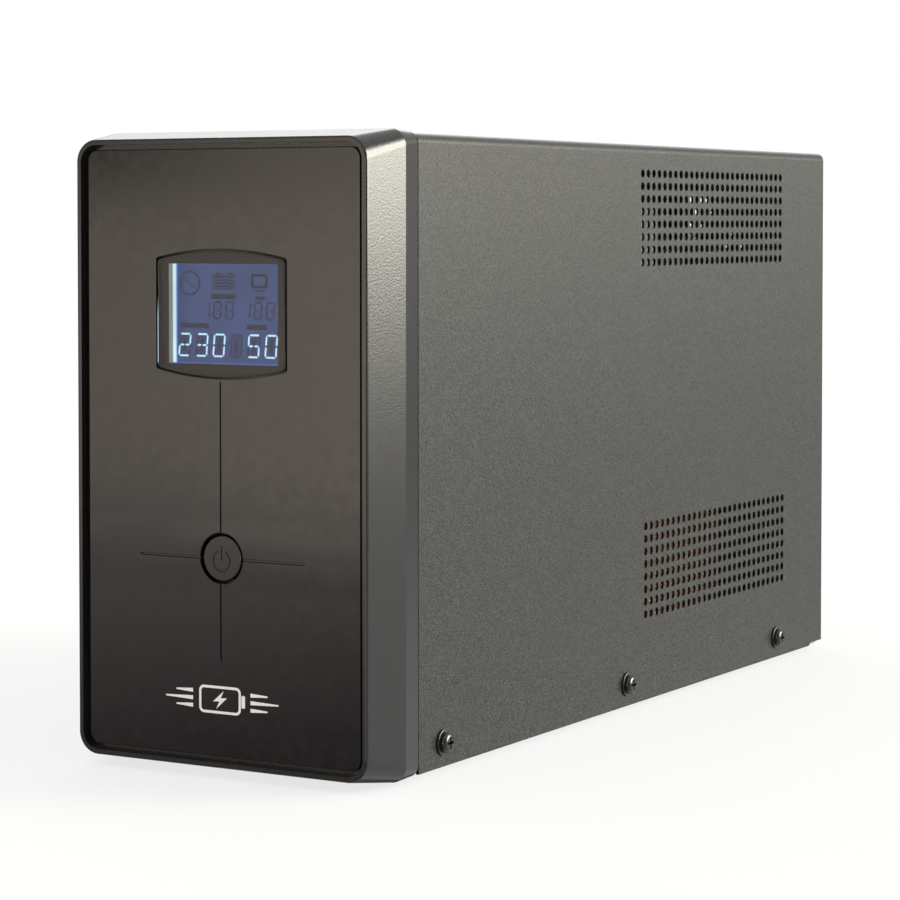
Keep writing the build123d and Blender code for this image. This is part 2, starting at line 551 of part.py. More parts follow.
BOBBIN_T, BOBBIN_GAP = 1.6, 0.4
bobbin_x, bobbin_y = CORE_STACK / 2 + BOBBIN_GAP, LEG / 2 + BOBBIN_GAP
WINDING_GROWTH = WINDOW_L - BOBBIN_GAP - BOBBIN_T - 0.8
bobbin_low_z, bobbin_high_z = CORE_Z - WINDOW_H / 2 + 0.3, CORE_Z + WINDOW_H / 2 - 0.3


def ring_block(inner, outer, z, corner):
    """Upright rounded rectangular ring about the centre leg of the transformer."""
    with BuildSketch(Plane.XY.offset(z[0])) as ring:
        with Locations((0, CORE_Y)):
            RectangleRounded(2 * outer[0], 2 * outer[1], corner)
            Rectangle(2 * inner[0], 2 * inner[1], mode=Mode.SUBTRACT)
    extrude(ring.sketch, amount=z[1] - z[0])


with BuildPart() as transformer_bobbin:
    tube = (bobbin_x + BOBBIN_T, bobbin_y + BOBBIN_T)
    rim = (tube[0] + WINDING_GROWTH, tube[1] + WINDING_GROWTH)
    ring_block((bobbin_x, bobbin_y), tube, (bobbin_low_z, bobbin_high_z), 0.8)
    ring_block((bobbin_x, bobbin_y), rim, (bobbin_low_z, bobbin_low_z + BOBBIN_T), 3)
    ring_block((bobbin_x, bobbin_y), rim, (bobbin_high_z - BOBBIN_T, bobbin_high_z), 3)
pieces["transformer_bobbin"] = transformer_bobbin

with BuildPart() as transformer_winding:
    wound = (rim[0] - 0.8, rim[1] - 0.8)
    ring_block(tube, wound, (bobbin_low_z + BOBBIN_T, bobbin_high_z - BOBBIN_T), 9)
pieces["transformer_winding"] = transformer_winding

with BuildPart() as transformer_frame:
    frame_x = (-CORE_STACK / 2 + 6, CORE_STACK / 2 - 6)
    core_y = (CORE_Y - CORE_L / 2, CORE_Y + CORE_L / 2)
    core_top_z = CORE_Z + CORE_H / 2
    block(frame_x, (core_y[0] - FRAME_T, core_y[1] + FRAME_T), (core_top_z, core_top_z + FRAME_T))
    for inner_y, outer_y in ((core_y[0], core_y[0] - FRAME_T), (core_y[1], core_y[1] + FRAME_T)):
        foot_end_y = outer_y + math.copysign(9, outer_y - inner_y)
        block(frame_x, sorted((inner_y, outer_y)), (TRAY_TOP_Z, core_top_z))
        block(frame_x, sorted((outer_y, foot_end_y)), (TRAY_TOP_Z, TRAY_TOP_Z + FRAME_T))
        for x in (-18, 18):
            with Locations((x, (outer_y + foot_end_y) / 2, TRAY_TOP_Z)):
                Cylinder(2.2, 3 * FRAME_T, mode=Mode.SUBTRACT)
pieces["transformer_frame"] = transformer_frame

with BuildPart() as transformer_screws:
    for end in (-1, 1):
        screw_y = CORE_Y + end * (CORE_L / 2 + FRAME_T + 4.5)
        for x in (-18, 18):
            with Locations((x, screw_y, TRAY_TOP_Z + FRAME_T)):
                add(pan_screw(2.0, FRAME_T, 3.9, 2.2))
pieces["transformer_screws"] = transformer_screws

# ---------------------------------------------------------------- main board
with BuildPart() as board_shelf:
    shelf_y = (BOARD_FRONT_Y - 6, BOARD_BACK_Y + 6)
    shelf_half_w = TRAY_HALF_W - 0.4
    block((-shelf_half_w, shelf_half_w), shelf_y, (SHELF_Z, SHELF_Z + SHELF_T))
    for side in (-1, 1):
        block(sorted((side * shelf_half_w, side * (shelf_half_w - SHELF_T))), shelf_y, (SHELF_Z - 9, SHELF_Z))
    with BuildSketch(Plane.XY.offset(SHELF_Z)):
        with Locations((0, BOARD_MID_Y)):
            with GridLocations(14, 36, 6, 6):
                SlotOverall(24, 3.5, rotation=90)
    extrude(amount=SHELF_T, mode=Mode.SUBTRACT)
pieces["board_shelf"] = board_shelf

with BuildPart() as board_standoffs:
    with BuildSketch(Plane.XY.offset(SHELF_Z + SHELF_T)):
        with Locations((0, BOARD_MID_Y)):
            with GridLocations(BOARD_W - 2 * STANDOFF_INSET, BOARD_L - 2 * STANDOFF_INSET, 2, 2):
                RegularPolygon(3.2, 6)
    extrude(amount=BOARD_Z - SHELF_Z - SHELF_T)
pieces["board_standoffs"] = board_standoffs

with BuildPart() as main_board:
    block((-BOARD_W / 2, BOARD_W / 2), (BOARD_FRONT_Y, BOARD_BACK_Y), (BOARD_Z, BOARD_TOP_Z))
    for x, y_depth, w, d, h in ((0, 60, 12, 12, 2), (0, 90, 8, 20, 4), (8, 45, 18, 6, 9), (-18, 45, 14, 6, 9),
                                (0, 190, 30, 26, 24), (32, 35, 18, 10, 12), (-39, 264, 16, 8, 10)):
        block((x - w / 2, x + w / 2), (JOINT_Y + y_depth - d / 2, JOINT_Y + y_depth + d / 2),
              (BOARD_TOP_Z, BOARD_TOP_Z + h))
pieces["main_board"] = main_board

for name, side in (("left", -1), ("right", 1)):
    with BuildPart() as heatsink:
        sink_y = (SINK_Y - SINK_L / 2, SINK_Y + SINK_L / 2)
        root_x = side * SINK_X
        outer_x = root_x + side * SINK_T
        sink_z = (BOARD_TOP_Z, BOARD_TOP_Z + SINK_H)
        block(sorted((root_x, root_x + side * SINK_ROOT_T)), sink_y, sink_z)
        block(sorted((outer_x - side * SINK_SKIN_T, outer_x)), sink_y, sink_z)
        for fin in range(SINK_FINS):
            fin_z = BOARD_TOP_Z + 2 + fin * 6
            block(sorted((root_x + side * 2, outer_x - side)), sink_y, (fin_z, fin_z + 1.4))
    pieces[f"heatsink_{name}"] = heatsink

with BuildPart() as power_transistors:
    for side in (-1, 1):
        for index in range(6):
            y = SINK_Y - 50 + index * 20
            tab_x = sorted((side * SINK_X, side * (SINK_X - 1.3)))
            body_x = sorted((side * (SINK_X - 1.3), side * (SINK_X - 4.5)))
            block(tab_x, (y - 5, y + 5), (BOARD_TOP_Z + 5, BOARD_TOP_Z + 21))
            block(body_x, (y - 5, y + 5), (BOARD_TOP_Z + 5, BOARD_TOP_Z + 14))
            for pin in (-2.5, 0, 2.5):
                pin_x = sorted((side * (SINK_X - 2.6), side * (SINK_X - 3.2)))
                block(pin_x, (y + pin - 0.4, y + pin + 0.4), (BOARD_TOP_Z, BOARD_TOP_Z + 5))
pieces["power_transistors"] = power_transistors

with BuildPart() as relays:
    for x in (-38, -14, 14):
        block((x - 9.5, x + 9.5), (JOINT_Y + 240, JOINT_Y + 256), (BOARD_TOP_Z, BOARD_TOP_Z + 15.5))
    fillet(relays.edges().filter_by(Axis.Z), 0.8)
pieces["relays"] = relays

with BuildPart() as capacitors:
    with BuildSketch(Plane.XY.offset(BOARD_TOP_Z)):
        with Locations((0, JOINT_Y + 130)):
            with GridLocations(22, 24, 2, 3):
                Circle(9)
    extrude(amount=30)
    fillet(capacitors.faces().group_by(Axis.Z)[-1].edges(), 1.0)
    block((37, 50), (JOINT_Y + 212, JOINT_Y + 232), (BOARD_TOP_Z, BOARD_TOP_Z + 24))
pieces["capacitors"] = capacitors

with BuildPart() as filter_choke:
    with Locations((-36, JOINT_Y + 208, BOARD_TOP_Z + 7)):
        Torus(10, 6.8)
pieces["filter_choke"] = filter_choke

# ---------------------------------------------------------------- fan
FAN_STRUT_T, FAN_POST_R = 3.0, 4.0
HUB_FRONT_Y = FAN_FRONT_Y + FAN_STRUT_T + 0.8
HUB_BACK_Y = REAR_BACK_Y - 1.5

with BuildPart() as fan_frame:
    rounded_block((FAN_SIZE, FAN_SIZE), FAN_Z, 4, (FAN_FRONT_Y, REAR_BACK_Y))
    rod((0, FAN_Z), FAN_BORE_R, (FAN_FRONT_Y, REAR_BACK_Y), Mode.SUBTRACT)
    with BuildSketch(face_at(FAN_FRONT_Y, FAN_Z)):
        with GridLocations(FAN_SCREW_PITCH, FAN_SCREW_PITCH, 2, 2):
            Circle(SCREW_HOLE_R)
    extrude(amount=-FAN_D, mode=Mode.SUBTRACT)
    with BuildSketch(face_at(FAN_FRONT_Y, FAN_Z)):
        Circle(HUB_R)
        with PolarLocations(0, 4, 45):
            with Locations((FAN_BORE_R / 2, 0)):
                Rectangle(FAN_BORE_R + 1, 4)
    extrude(amount=-FAN_STRUT_T)
    rod((0, FAN_Z), FAN_POST_R, (FAN_FRONT_Y + FAN_STRUT_T, HUB_BACK_Y - 4))
    rod((0, FAN_Z), SHAFT_R + 0.05, (FAN_FRONT_Y + 1, HUB_BACK_Y), Mode.SUBTRACT)
pieces["fan_frame"] = fan_frame

with BuildPart() as fan_stator:
    rod((0, FAN_Z), 12, (HUB_FRONT_Y + 2, HUB_BACK_Y - 5))
    rod((0, FAN_Z), FAN_POST_R, (HUB_FRONT_Y + 2, HUB_BACK_Y - 5), Mode.SUBTRACT)
pieces["fan_stator"] = fan_stator

with BuildPart() as fan_rotor:
    blade_y = (HUB_FRONT_Y + HUB_BACK_Y) / 2
    for index in range(BLADES):
        turn = math.radians(360 * index / BLADES)
        outward = Vector(math.cos(turn), 0, math.sin(turn))
        for radius, chord, pitch in ((HUB_R - 1, 17, 52), (BLADE_R + 1.5, 20, 66)):
            swing = math.radians(pitch)
            along = Vector(0, 1, 0) * math.cos(swing) + outward.cross(Vector(0, 1, 0)) * math.sin(swing)
            centre = Vector(0, blade_y, FAN_Z) + outward * radius
            with BuildSketch(Plane(origin=centre, x_dir=along, z_dir=outward)):
                RectangleRounded(chord, 1.3, 0.6)
        loft()
    rod((0, FAN_Z), BLADE_R, (FAN_FRONT_Y, REAR_BACK_Y), Mode.INTERSECT)
    rod((0, FAN_Z), HUB_R, (HUB_FRONT_Y, HUB_BACK_Y))
    fillet(fan_rotor.faces().sort_by(Axis.Y)[-1].edges(), 1.5)
    rod((0, FAN_Z), HUB_R - 1.8, (HUB_FRONT_Y, HUB_BACK_Y - 2), Mode.SUBTRACT)
    rod((0, FAN_Z), SHAFT_R, (FAN_FRONT_Y + 1.5, HUB_BACK_Y - 1))
pieces["fan_rotor"] = fan_rotor

with BuildPart() as fan_screws:
    for x in (-FAN_SCREW_PITCH / 2, FAN_SCREW_PITCH / 2):
        for z in (FAN_Z - FAN_SCREW_PITCH / 2, FAN_Z + FAN_SCREW_PITCH / 2):
            with Locations(Plane(origin=(x, REAR_FACE_Y, z), z_dir=(0, 1, 0))):
                add(pan_screw(2.0, 12.0, 3.6, 2.0))
pieces["fan_screws"] = fan_screws

# ---------------------------------------------------------------- rear sockets
outlet_face_y = REAR_FACE_Y + OUTLET_FLANGE

for name, x in OUTLET_X.items():
    with BuildPart() as outlet:
        with BuildSketch(face_at(REAR_FACE_Y, OUTLET_Z, x)):
            RectangleRounded(OUTLET_SIZE, OUTLET_SIZE, 4)
        extrude(amount=-OUTLET_FLANGE)
        chamfer(outlet.faces().sort_by(Axis.Y)[-1].edges(), 0.6)
        rod((x, OUTLET_Z), OUTLET_BODY_R, (outlet_face_y - OUTLET_DEPTH, REAR_FACE_Y))
        rod((x, OUTLET_Z), OUTLET_RECESS_R, (outlet_face_y - OUTLET_RECESS_D, outlet_face_y), Mode.SUBTRACT)
        rib_y = (outlet_face_y - OUTLET_RECESS_D, outlet_face_y - 0.8)
        for side in (-1, 1):
            pin_at = (x + side * OUTLET_PIN_HALF_PITCH, OUTLET_Z)
            rib_x = sorted((x + side * (OUTLET_RECESS_R - 2.2), x + side * (OUTLET_RECESS_R + 0.8)))
            rod(pin_at, OUTLET_PIN_R, (outlet_face_y - OUTLET_DEPTH + 4, outlet_face_y), Mode.SUBTRACT)
            block(rib_x, rib_y, (OUTLET_Z - 2.4, OUTLET_Z + 2.4))
    pieces[f"outlet_{name}"] = outlet

with BuildPart() as outlet_contacts:
    for x in OUTLET_X.values():
        for side in (-1, 1):
            clip_z = sorted(OUTLET_Z + side * (OUTLET_RECESS_R - inset) for inset in (0.9, 1.7))
            block((x - 2, x + 2), (outlet_face_y - OUTLET_RECESS_D, outlet_face_y - 1.5), clip_z)
pieces["outlet_contacts"] = outlet_contacts

with BuildPart() as inlet_housing:
    with BuildSketch(face_at(REAR_FACE_Y, INLET_Z, INLET_X)):
        RectangleRounded(INLET_W + 4, INLET_H + 4, 2)
    extrude(amount=-2)
    with BuildSketch(face_at(REAR_FACE_Y - INLET_DEPTH + 2, INLET_Z, INLET_X)):
        Rectangle(INLET_W, INLET_H)
    extrude(amount=-INLET_DEPTH + 2)
    with BuildSketch(face_at(REAR_FACE_Y - 15, INLET_Z, INLET_X)) as inlet_mouth:
        Rectangle(24.2, 16.4)
        chamfer(inlet_mouth.vertices().group_by(Axis.Y)[-1], 4.5)
    extrude(amount=-17, mode=Mode.SUBTRACT)
pieces["inlet_housing"] = inlet_housing

with BuildPart() as inlet_pins:
    for x_off, z_off in ((-7, -2), (7, -2), (0, 2)):
        block((INLET_X + x_off - 1, INLET_X + x_off + 1), (REAR_FACE_Y - 15, REAR_FACE_Y + 0.5),
              (INLET_Z + z_off - 2, INLET_Z + z_off + 2))
    fillet(inlet_pins.faces().group_by(Axis.Y)[-1].edges(), 0.6)
pieces["inlet_pins"] = inlet_pins

with BuildPart() as breaker_body:
    rod((BREAKER_X, BREAKER_Z), BREAKER_R, (REAR_BACK_Y, REAR_FACE_Y + 2.6))
    block((BREAKER_X - 8, BREAKER_X + 8), (REAR_BACK_Y - 26, REAR_BACK_Y), (BREAKER_Z - 11, BREAKER_Z + 11))
    rod((BREAKER_X, BREAKER_Z), RESET_R + 0.2, (REAR_BACK_Y - 12, REAR_FACE_Y + 2.6), Mode.SUBTRACT)
pieces["breaker_body"] = breaker_body

with BuildPart() as breaker_nut:
    with BuildSketch(face_at(REAR_FACE_Y, BREAKER_Z, BREAKER_X)):
        RegularPolygon(8.0, 6)
        Circle(BREAKER_R, mode=Mode.SUBTRACT)
    extrude(amount=-2)
pieces["breaker_nut"] = breaker_nut

with BuildPart() as breaker_button:
    rod((BREAKER_X, BREAKER_Z), RESET_R, (REAR_BACK_Y - 8, COVER_REAR_Y + BREAKER_STICKOUT))
    fillet(breaker_button.faces().sort_by(Axis.Y)[-1].edges(), 0.6)
pieces["breaker_button"] = breaker_button

with BuildPart() as usb_port:
    with BuildSketch(face_at(REAR_FACE_Y - 15, USB_Z, USB_X)) as usb_shell:
        Rectangle(USB_W, USB_H)
        Rectangle(USB_W - 1, USB_H - 1, mode=Mode.SUBTRACT)
    extrude(amount=-15.6)
    block((USB_X - USB_W / 2, USB_X + USB_W / 2), (REAR_FACE_Y - 16, REAR_FACE_Y - 9),
          (USB_Z - USB_H / 2, USB_Z + USB_H / 2))
    block((USB_X - 2.8, USB_X + 2.8), (REAR_FACE_Y - 9, REAR_FACE_Y - 1), (USB_Z - 1.6, USB_Z + 1.6))
pieces["usb_port"] = usb_port

with BuildPart() as data_jack:
    block((JACK_X - JACK_W / 2, JACK_X + JACK_W / 2), (REAR_FACE_Y - JACK_D, REAR_FACE_Y + 0.6),
          (JACK_Z - JACK_H / 2, JACK_Z + JACK_H / 2))
    for side in (-1, 1):
        port_x = JACK_X + side * JACK_PITCH / 2
        port_y = (REAR_FACE_Y - PORT_DEPTH, REAR_FACE_Y + 0.6)
        block((port_x - 5.9, port_x + 5.9), port_y, (JACK_Z - 5.2, JACK_Z + 1.6), Mode.SUBTRACT)
        block((port_x - 3.1, port_x + 3.1), port_y, (JACK_Z + 1.6, JACK_Z + 4.6), Mode.SUBTRACT)
        contact_y, contact_z = (REAR_FACE_Y - PORT_DEPTH, REAR_FACE_Y - 3), (JACK_Z - 5.2, JACK_Z - 4.4)
        for contact in range(PORT_CONTACTS):
            contact_x = port_x + (contact - (PORT_CONTACTS - 1) / 2) * CONTACT_PITCH
            block((contact_x - 0.2, contact_x + 0.2), contact_y, contact_z)
pieces["data_jack"] = data_jack

# ---------------------------------------------------------------- leads
WIRE_R, WIRE_BEND = 1.6, 2.8
TAB_END_X, WIRE_X = lid_face_x + TAB_OUT, lid_face_x + TAB_OUT + 5.0
FRONT_TAB_Y, REAR_TAB_Y = BATTERY_Y - BATTERY_L / 2 + TAB_INSET, BATTERY_Y + BATTERY_L / 2 - TAB_INSET
LOWER_TAB_Z, UPPER_TAB_Z = (floor_z + BATTERY_H / 2 for floor_z in BATTERY_LEVELS.values())
TERMINAL_Y = JOINT_Y + 30
RED_Z, BLACK_Z, BLACK_Y = BOARD_TOP_Z + 3.5, BOARD_TOP_Z + 9, FRONT_TAB_Y - 7

with BuildPart() as battery_lead_red:
    red_route = (
        (TAB_END_X, FRONT_TAB_Y, UPPER_TAB_Z),
        (WIRE_X, FRONT_TAB_Y, UPPER_TAB_Z),
        (WIRE_X, FRONT_TAB_Y, RED_Z),
        (36, FRONT_TAB_Y, RED_Z),
        (36, TERMINAL_Y, RED_Z),
    )
    add(lead(red_route, WIRE_R, WIRE_BEND))
pieces["battery_lead_red"] = battery_lead_red

with BuildPart() as battery_lead_black:
    black_route = (
        (TAB_END_X, FRONT_TAB_Y, LOWER_TAB_Z),
        (WIRE_X, FRONT_TAB_Y, LOWER_TAB_Z),
        (WIRE_X, BLACK_Y, LOWER_TAB_Z),
        (WIRE_X, BLACK_Y, BLACK_Z),
        (28, BLACK_Y, BLACK_Z),
        (28, TERMINAL_Y, BLACK_Z),
    )
    add(lead(black_route, WIRE_R, WIRE_BEND * 0.8))
pieces["battery_lead_black"] = battery_lead_black

with BuildPart() as battery_link:
    link_route = (
        (TAB_END_X, REAR_TAB_Y, LOWER_TAB_Z),
        (WIRE_X, REAR_TAB_Y, LOWER_TAB_Z),
        (WIRE_X, REAR_TAB_Y, UPPER_TAB_Z),
        (TAB_END_X, REAR_TAB_Y, UPPER_TAB_Z),
    )
    add(lead(link_route, WIRE_R, WIRE_BEND))
pieces["battery_link"] = battery_link

with BuildPart() as display_lead:
    lead_z = LENS_Z - 5
    display_route = (
        (4, DISPLAY_BOARD_Y + BOARD_T + 6, lead_z),
        (4, JOINT_Y + 8, lead_z),
        (4, JOINT_Y + 20, BOARD_TOP_Z + 5),
        (4, JOINT_Y + 42, BOARD_TOP_Z + 5),
    )
    add(lead(display_route, 1.5, 6))
pieces["display_lead"] = display_lead

with BuildPart() as transformer_leads:
    riser_y = BOARD_BACK_Y + 16
    for x in (-43, -36):
        transformer_route = (
            (x, CORE_Y, bobbin_high_z),
            (x, CORE_Y, SHELF_Z - 12),
            (x, riser_y, SHELF_Z - 12),
            (x, riser_y, BOARD_TOP_Z + 5),
            (x, BOARD_BACK_Y - 2, BOARD_TOP_Z + 5),
        )
        add(lead(transformer_route, WIRE_R, 7))
pieces["transformer_leads"] = transformer_leads

for name, piece in pieces.items():
    piece.part.label = name
    export_step(piece.part, f"parts/{name}.step")
print(len(pieces), "pieces")
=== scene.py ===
"""Looks of a tower uninterruptible power supply: materials, display, mark, studio and camera."""

from math import cos, dist, pi, radians, sin, sqrt

import bmesh
import bpy
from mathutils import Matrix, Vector


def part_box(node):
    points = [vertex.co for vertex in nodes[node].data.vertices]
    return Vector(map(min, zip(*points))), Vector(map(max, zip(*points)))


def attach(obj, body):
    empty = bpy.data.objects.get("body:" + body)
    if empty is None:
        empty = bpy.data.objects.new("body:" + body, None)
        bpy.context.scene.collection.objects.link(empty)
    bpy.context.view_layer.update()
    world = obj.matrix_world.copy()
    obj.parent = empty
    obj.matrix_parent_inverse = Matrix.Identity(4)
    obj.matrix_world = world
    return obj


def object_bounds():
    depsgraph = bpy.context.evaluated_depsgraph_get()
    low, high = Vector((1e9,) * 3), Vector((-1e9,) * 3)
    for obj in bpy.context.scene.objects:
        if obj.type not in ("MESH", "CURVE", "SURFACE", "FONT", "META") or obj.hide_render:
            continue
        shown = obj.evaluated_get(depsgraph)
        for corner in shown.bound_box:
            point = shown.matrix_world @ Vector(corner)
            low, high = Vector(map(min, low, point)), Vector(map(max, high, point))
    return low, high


MM = 0.001

# In mm: the polished rim round the panel, and how far the painted shade of the unlit joint between bezel
# and cover reaches on each
RIM_DEPTH, BEZEL_SEAM_SHADE, COVER_SEAM_SHADE = 0.9, 0.4, 0.15
# Half sizes in mm of the clear window in the lens's printed mask
WINDOW_W, WINDOW_H = 22.65, 17.25

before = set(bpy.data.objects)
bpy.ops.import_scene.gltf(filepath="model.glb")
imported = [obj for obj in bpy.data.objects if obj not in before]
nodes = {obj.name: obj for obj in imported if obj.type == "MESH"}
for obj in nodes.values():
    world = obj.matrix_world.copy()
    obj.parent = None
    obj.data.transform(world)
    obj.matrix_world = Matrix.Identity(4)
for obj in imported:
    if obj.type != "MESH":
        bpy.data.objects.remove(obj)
cad_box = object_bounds()


def linear(red, green, blue):
    """Display colour, each channel 0 to 255, as scene-linear RGBA."""
    out = []
    for channel in (red, green, blue):
        c = channel / 255
        out.append(c / 12.92 if c <= 0.04045 else ((c + 0.055) / 1.055) ** 2.4)
    return (*out, 1.0)


# ---------------------------------------------------------------- procedural materials
class Graph:
    """Shader nodes of one tree, with place as the point or the direction that they work on."""

    def __init__(self, tree, coordinate):
        self.tree = tree
        self.tree.nodes.clear()
        self.place = self.tree.nodes.new("ShaderNodeTexCoord").outputs[coordinate]

    def node(self, kind, inputs=(), **settings):
        """A node of that kind, with settings on it and values or links in its inputs."""
        made = self.tree.nodes.new(kind)
        for key, value in settings.items():
            setattr(made, key, value)
        for key, value in dict(inputs).items():
            if isinstance(value, bpy.types.NodeSocket):
                self.tree.links.new(value, made.inputs[key])
            else:
                made.inputs[key].default_value = value
        return made

    def axis(self, name):
        return self.node("ShaderNodeSeparateXYZ", {0: self.place}).outputs[name]

    def stretched(self, scale):
        """The place with each axis scaled on its own."""
        inputs = {0: self.place, 1: scale}
        return self.node("ShaderNodeVectorMath", inputs, operation="MULTIPLY").outputs[0]

    def noise(self, scale, detail=2.0, roughness=0.5, place=None):
        inputs = {"Vector": place or self.place, "Scale": scale, "Detail": detail, "Roughness": roughness}
        return self.node("ShaderNodeTexNoise", inputs).outputs["Fac"]

    def cells(self, scale, output="Distance"):
        return self.node("ShaderNodeTexVoronoi", {"Vector": self.place, "Scale": scale}).outputs[output]

    def waves(self, scale, direction="X", distortion=0.0):
        inputs = {"Vector": self.place, "Scale": scale, "Distortion": distortion}
        return self.node("ShaderNodeTexWave", inputs, bands_direction=direction).outputs["Fac"]

    def grey(self, colour):
        return self.node("ShaderNodeRGBToBW", {0: colour}).outputs[0]

    def spread(self, value, low, high, to_low=0.0, to_high=1.0, kind="SMOOTHSTEP"):
        """value mapped from low..high to to_low..to_high."""
        inputs = {"Value": value, "From Min": low, "From Max": high}
        inputs.update({"To Min": to_low, "To Max": to_high})
        return self.node("ShaderNodeMapRange", inputs, interpolation_type=kind).outputs[0]

    def maths(self, operation, first, second=0.0):
        return self.node("ShaderNodeMath", {0: first, 1: second}, operation=operation).outputs[0]

    def product(self, first, *others):
        for other in others:
            first = self.maths("MULTIPLY", first, other)
        return first

    def mix(self, factor, first, second):
        made = self.node("ShaderNodeMix", {"Factor": factor}, data_type="RGBA")
        for index, value in ((6, first), (7, second)):
            if isinstance(value, bpy.types.NodeSocket):
                self.tree.links.new(value, made.inputs[index])
            else:
                made.inputs[index].default_value = value
        return made.outputs[2]

    def ramp(self, factor, stops):
        """Colour ramp through (position, colour) stops."""
        made = self.node("ShaderNodeValToRGB", {"Fac": factor})
        elements = made.color_ramp.elements
        while len(elements) < len(stops):
            elements.new(0.5)
        for element, (position, colour) in zip(elements, stops):
            element.position = position
            element.color = colour
        return made.outputs["Color"]


class Look(Graph):
    """One procedural material: a Principled shader, its patterns in object coordinates, in metres."""

    def __init__(self, name, colour, roughness, metallic=0.0, ior=1.5, coat=0.0):
        self.material = bpy.data.materials.new(name)
        self.material.use_nodes = True
        super().__init__(self.material.node_tree, "Object")
        self.out = self.tree.nodes.new("ShaderNodeOutputMaterial")
        self.shader = self.tree.nodes.new("ShaderNodeBsdfPrincipled")
        self.tree.links.new(self.shader.outputs[0], self.out.inputs["Surface"])
        self.colour = colour
        self.set("Base Color", colour)
        self.set("Roughness", roughness)
        self.set("Metallic", metallic)
        self.set("IOR", ior)
        self.set("Coat Weight", coat)
        self.normal = None

    def set(self, socket, value):
        self.shader.inputs[socket].default_value = value

    def link(self, source, socket):
        self.tree.links.new(source, self.shader.inputs[socket])

    def tint(self, factor, other):
        """Base colour that runs from the look's own to another as factor goes from 0 to 1."""
        self.link(self.mix(factor, self.colour, other), "Base Color")

    def bump(self, height, depth):
        """Adds relief: depth is the height in metres of a full step of the pattern."""
        inputs = {"Height": height, "Distance": depth, "Strength": 1.0}
        if self.normal:
            inputs["Normal"] = self.normal
        self.normal = self.node("ShaderNodeBump", inputs).outputs["Normal"]
        self.link(self.normal, "Normal")

    def seam(self, joint_y, reach):
        """Painted shade: dead black, with no sheen, within reach of a joint at y, in place of the shade in
        the unlit slot between two parts.
        """
        off_joint = self.maths("ABSOLUTE", self.maths("SUBTRACT", self.axis("Y"), joint_y))
        # lit is 0 in the painted shade at the joint and 1 elsewhere: there the base colour goes near-black
        # and the sheen is halved
        lit = self.spread(off_joint, reach, reach + 0.1 * MM)
        painted = self.shader.inputs["Base Color"].links[0].from_socket
        self.link(self.mix(lit, (0.002, 0.002, 0.002, 1), painted), "Base Color")
        self.link(self.product(lit, 0.5), "Specular IOR Level")

    def gloss(self, factor, low, high):
        """Roughness that runs from low to high as factor goes from 0 to 1."""
        self.link(self.spread(factor, 0.0, 1.0, low, high, "LINEAR"), "Roughness")


def scaled(colour, amount):
    return (colour[0] * amount, colour[1] * amount, colour[2] * amount, 1.0)


def powder_coat():
    """Fine-textured powder coat: hard sandy grain with pale and dark speckles."""
    look = Look("powder_coat", linear(6, 6, 7), 0.3, ior=1.38)
    grain = look.noise(2100, 2, 0.6)
    look.bump(grain, 0.00004)
    speckle = look.spread(look.noise(2300, 1, 0.5), 0.42, 0.66)
    look.tint(speckle, linear(66, 66, 63))
    look.gloss(look.noise(1900, 1), 0.22, 0.38)
    # Painted shade along the cover's front edge, at its joint with the bezel
    look.seam(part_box("side_cover")[0].y, COVER_SEAM_SHADE * MM)
    return look.material


def zinc_steel():
    look = Look("zinc_steel", (0.56, 0.57, 0.58, 1), 0.34, 1.0)
    spangle = look.grey(look.cells(140, "Color"))
    look.tint(look.spread(spangle, 0.2, 0.8), (0.44, 0.46, 0.48, 1))
    brushed = look.noise(90, 4, place=look.stretched((1, 12, 12)))
    look.gloss(brushed, 0.24, 0.46)
    look.bump(look.noise(900, 2), 0.000006)
    return look.material


def moulded(name, colour, roughness, grain=0.00002, scale=1500, mottle=0.12):
    """Injection-moulded plastic: fine spark-eroded grain, slight flow mottling."""
    look = Look(name, colour, roughness, ior=1.46)
    look.bump(look.noise(scale, 2, 0.55), grain)
    look.tint(look.noise(60, 3), scaled(colour, 1 + mottle))
    look.gloss(look.noise(220, 3), roughness - 0.05, roughness + 0.06)
    return look.material


def bezel_plastic():
    """Satin sides with fine grain, and a polished rim round the panel."""
    look = Look("bezel_plastic", linear(24, 24, 25), 0.24)
    rim_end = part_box("bezel_frame")[0].y + RIM_DEPTH * MM
    side = look.spread(look.axis("Y"), rim_end, rim_end + 0.5 * MM)
    grain = look.product(look.noise(1500, 2, 0.5), side)
    look.bump(grain, 0.00003)
    look.link(look.spread(side, 0.0, 1.0, 0.14, 0.19, "LINEAR"), "Roughness")
    look.tint(look.spread(look.noise(1300, 2), 0.45, 0.7), linear(34, 34, 35))
    # Painted shade along the bezel's rear edge, at its joint with the cover
    look.seam(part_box("bezel_frame")[1].y, BEZEL_SEAM_SHADE * MM)
    return look.material


def gloss_moulding(name, wavy_z, amount):
    """Polished black moulding: long waves, strongest near wavy_z, and a few dust specks."""
    look = Look(name, linear(9, 8, 8), 0.08)
    off_line = look.maths("ABSOLUTE", look.maths("SUBTRACT", look.axis("Z"), wavy_z))
    near = look.spread(off_line, 14 * MM, 2 * MM)
    look.bump(look.noise(9, 1, 0.4), 0.00008)
    look.bump(look.product(look.noise(38, 1, 0.4), near), amount)
    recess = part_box("front_panel")[0].y + 0.1 * MM
    deep = look.spread(look.axis("Y"), recess, recess + 0.25 * MM)
    haze = look.spread(look.noise(240, 3, 0.6), 0.3, 0.7, 0.06, 0.12)
    look.link(look.maths("ADD", haze, look.product(deep, 0.06)), "Roughness")
    dust = look.spread(look.cells(420), 0.035, 0.02)
    sparse = look.spread(look.noise(75, 1), 0.62, 0.7)
    look.tint(look.product(dust, sparse), linear(60, 58, 56))
    return look.material


def lens_clear():
    look = Look("lens_clear", (0.9, 0.89, 0.88, 1), 0.0, ior=1.31)
    look.set("Transmission Weight", 1.0)
    look.bump(look.noise(14, 1, 0.4), 0.00003)
    return look.material


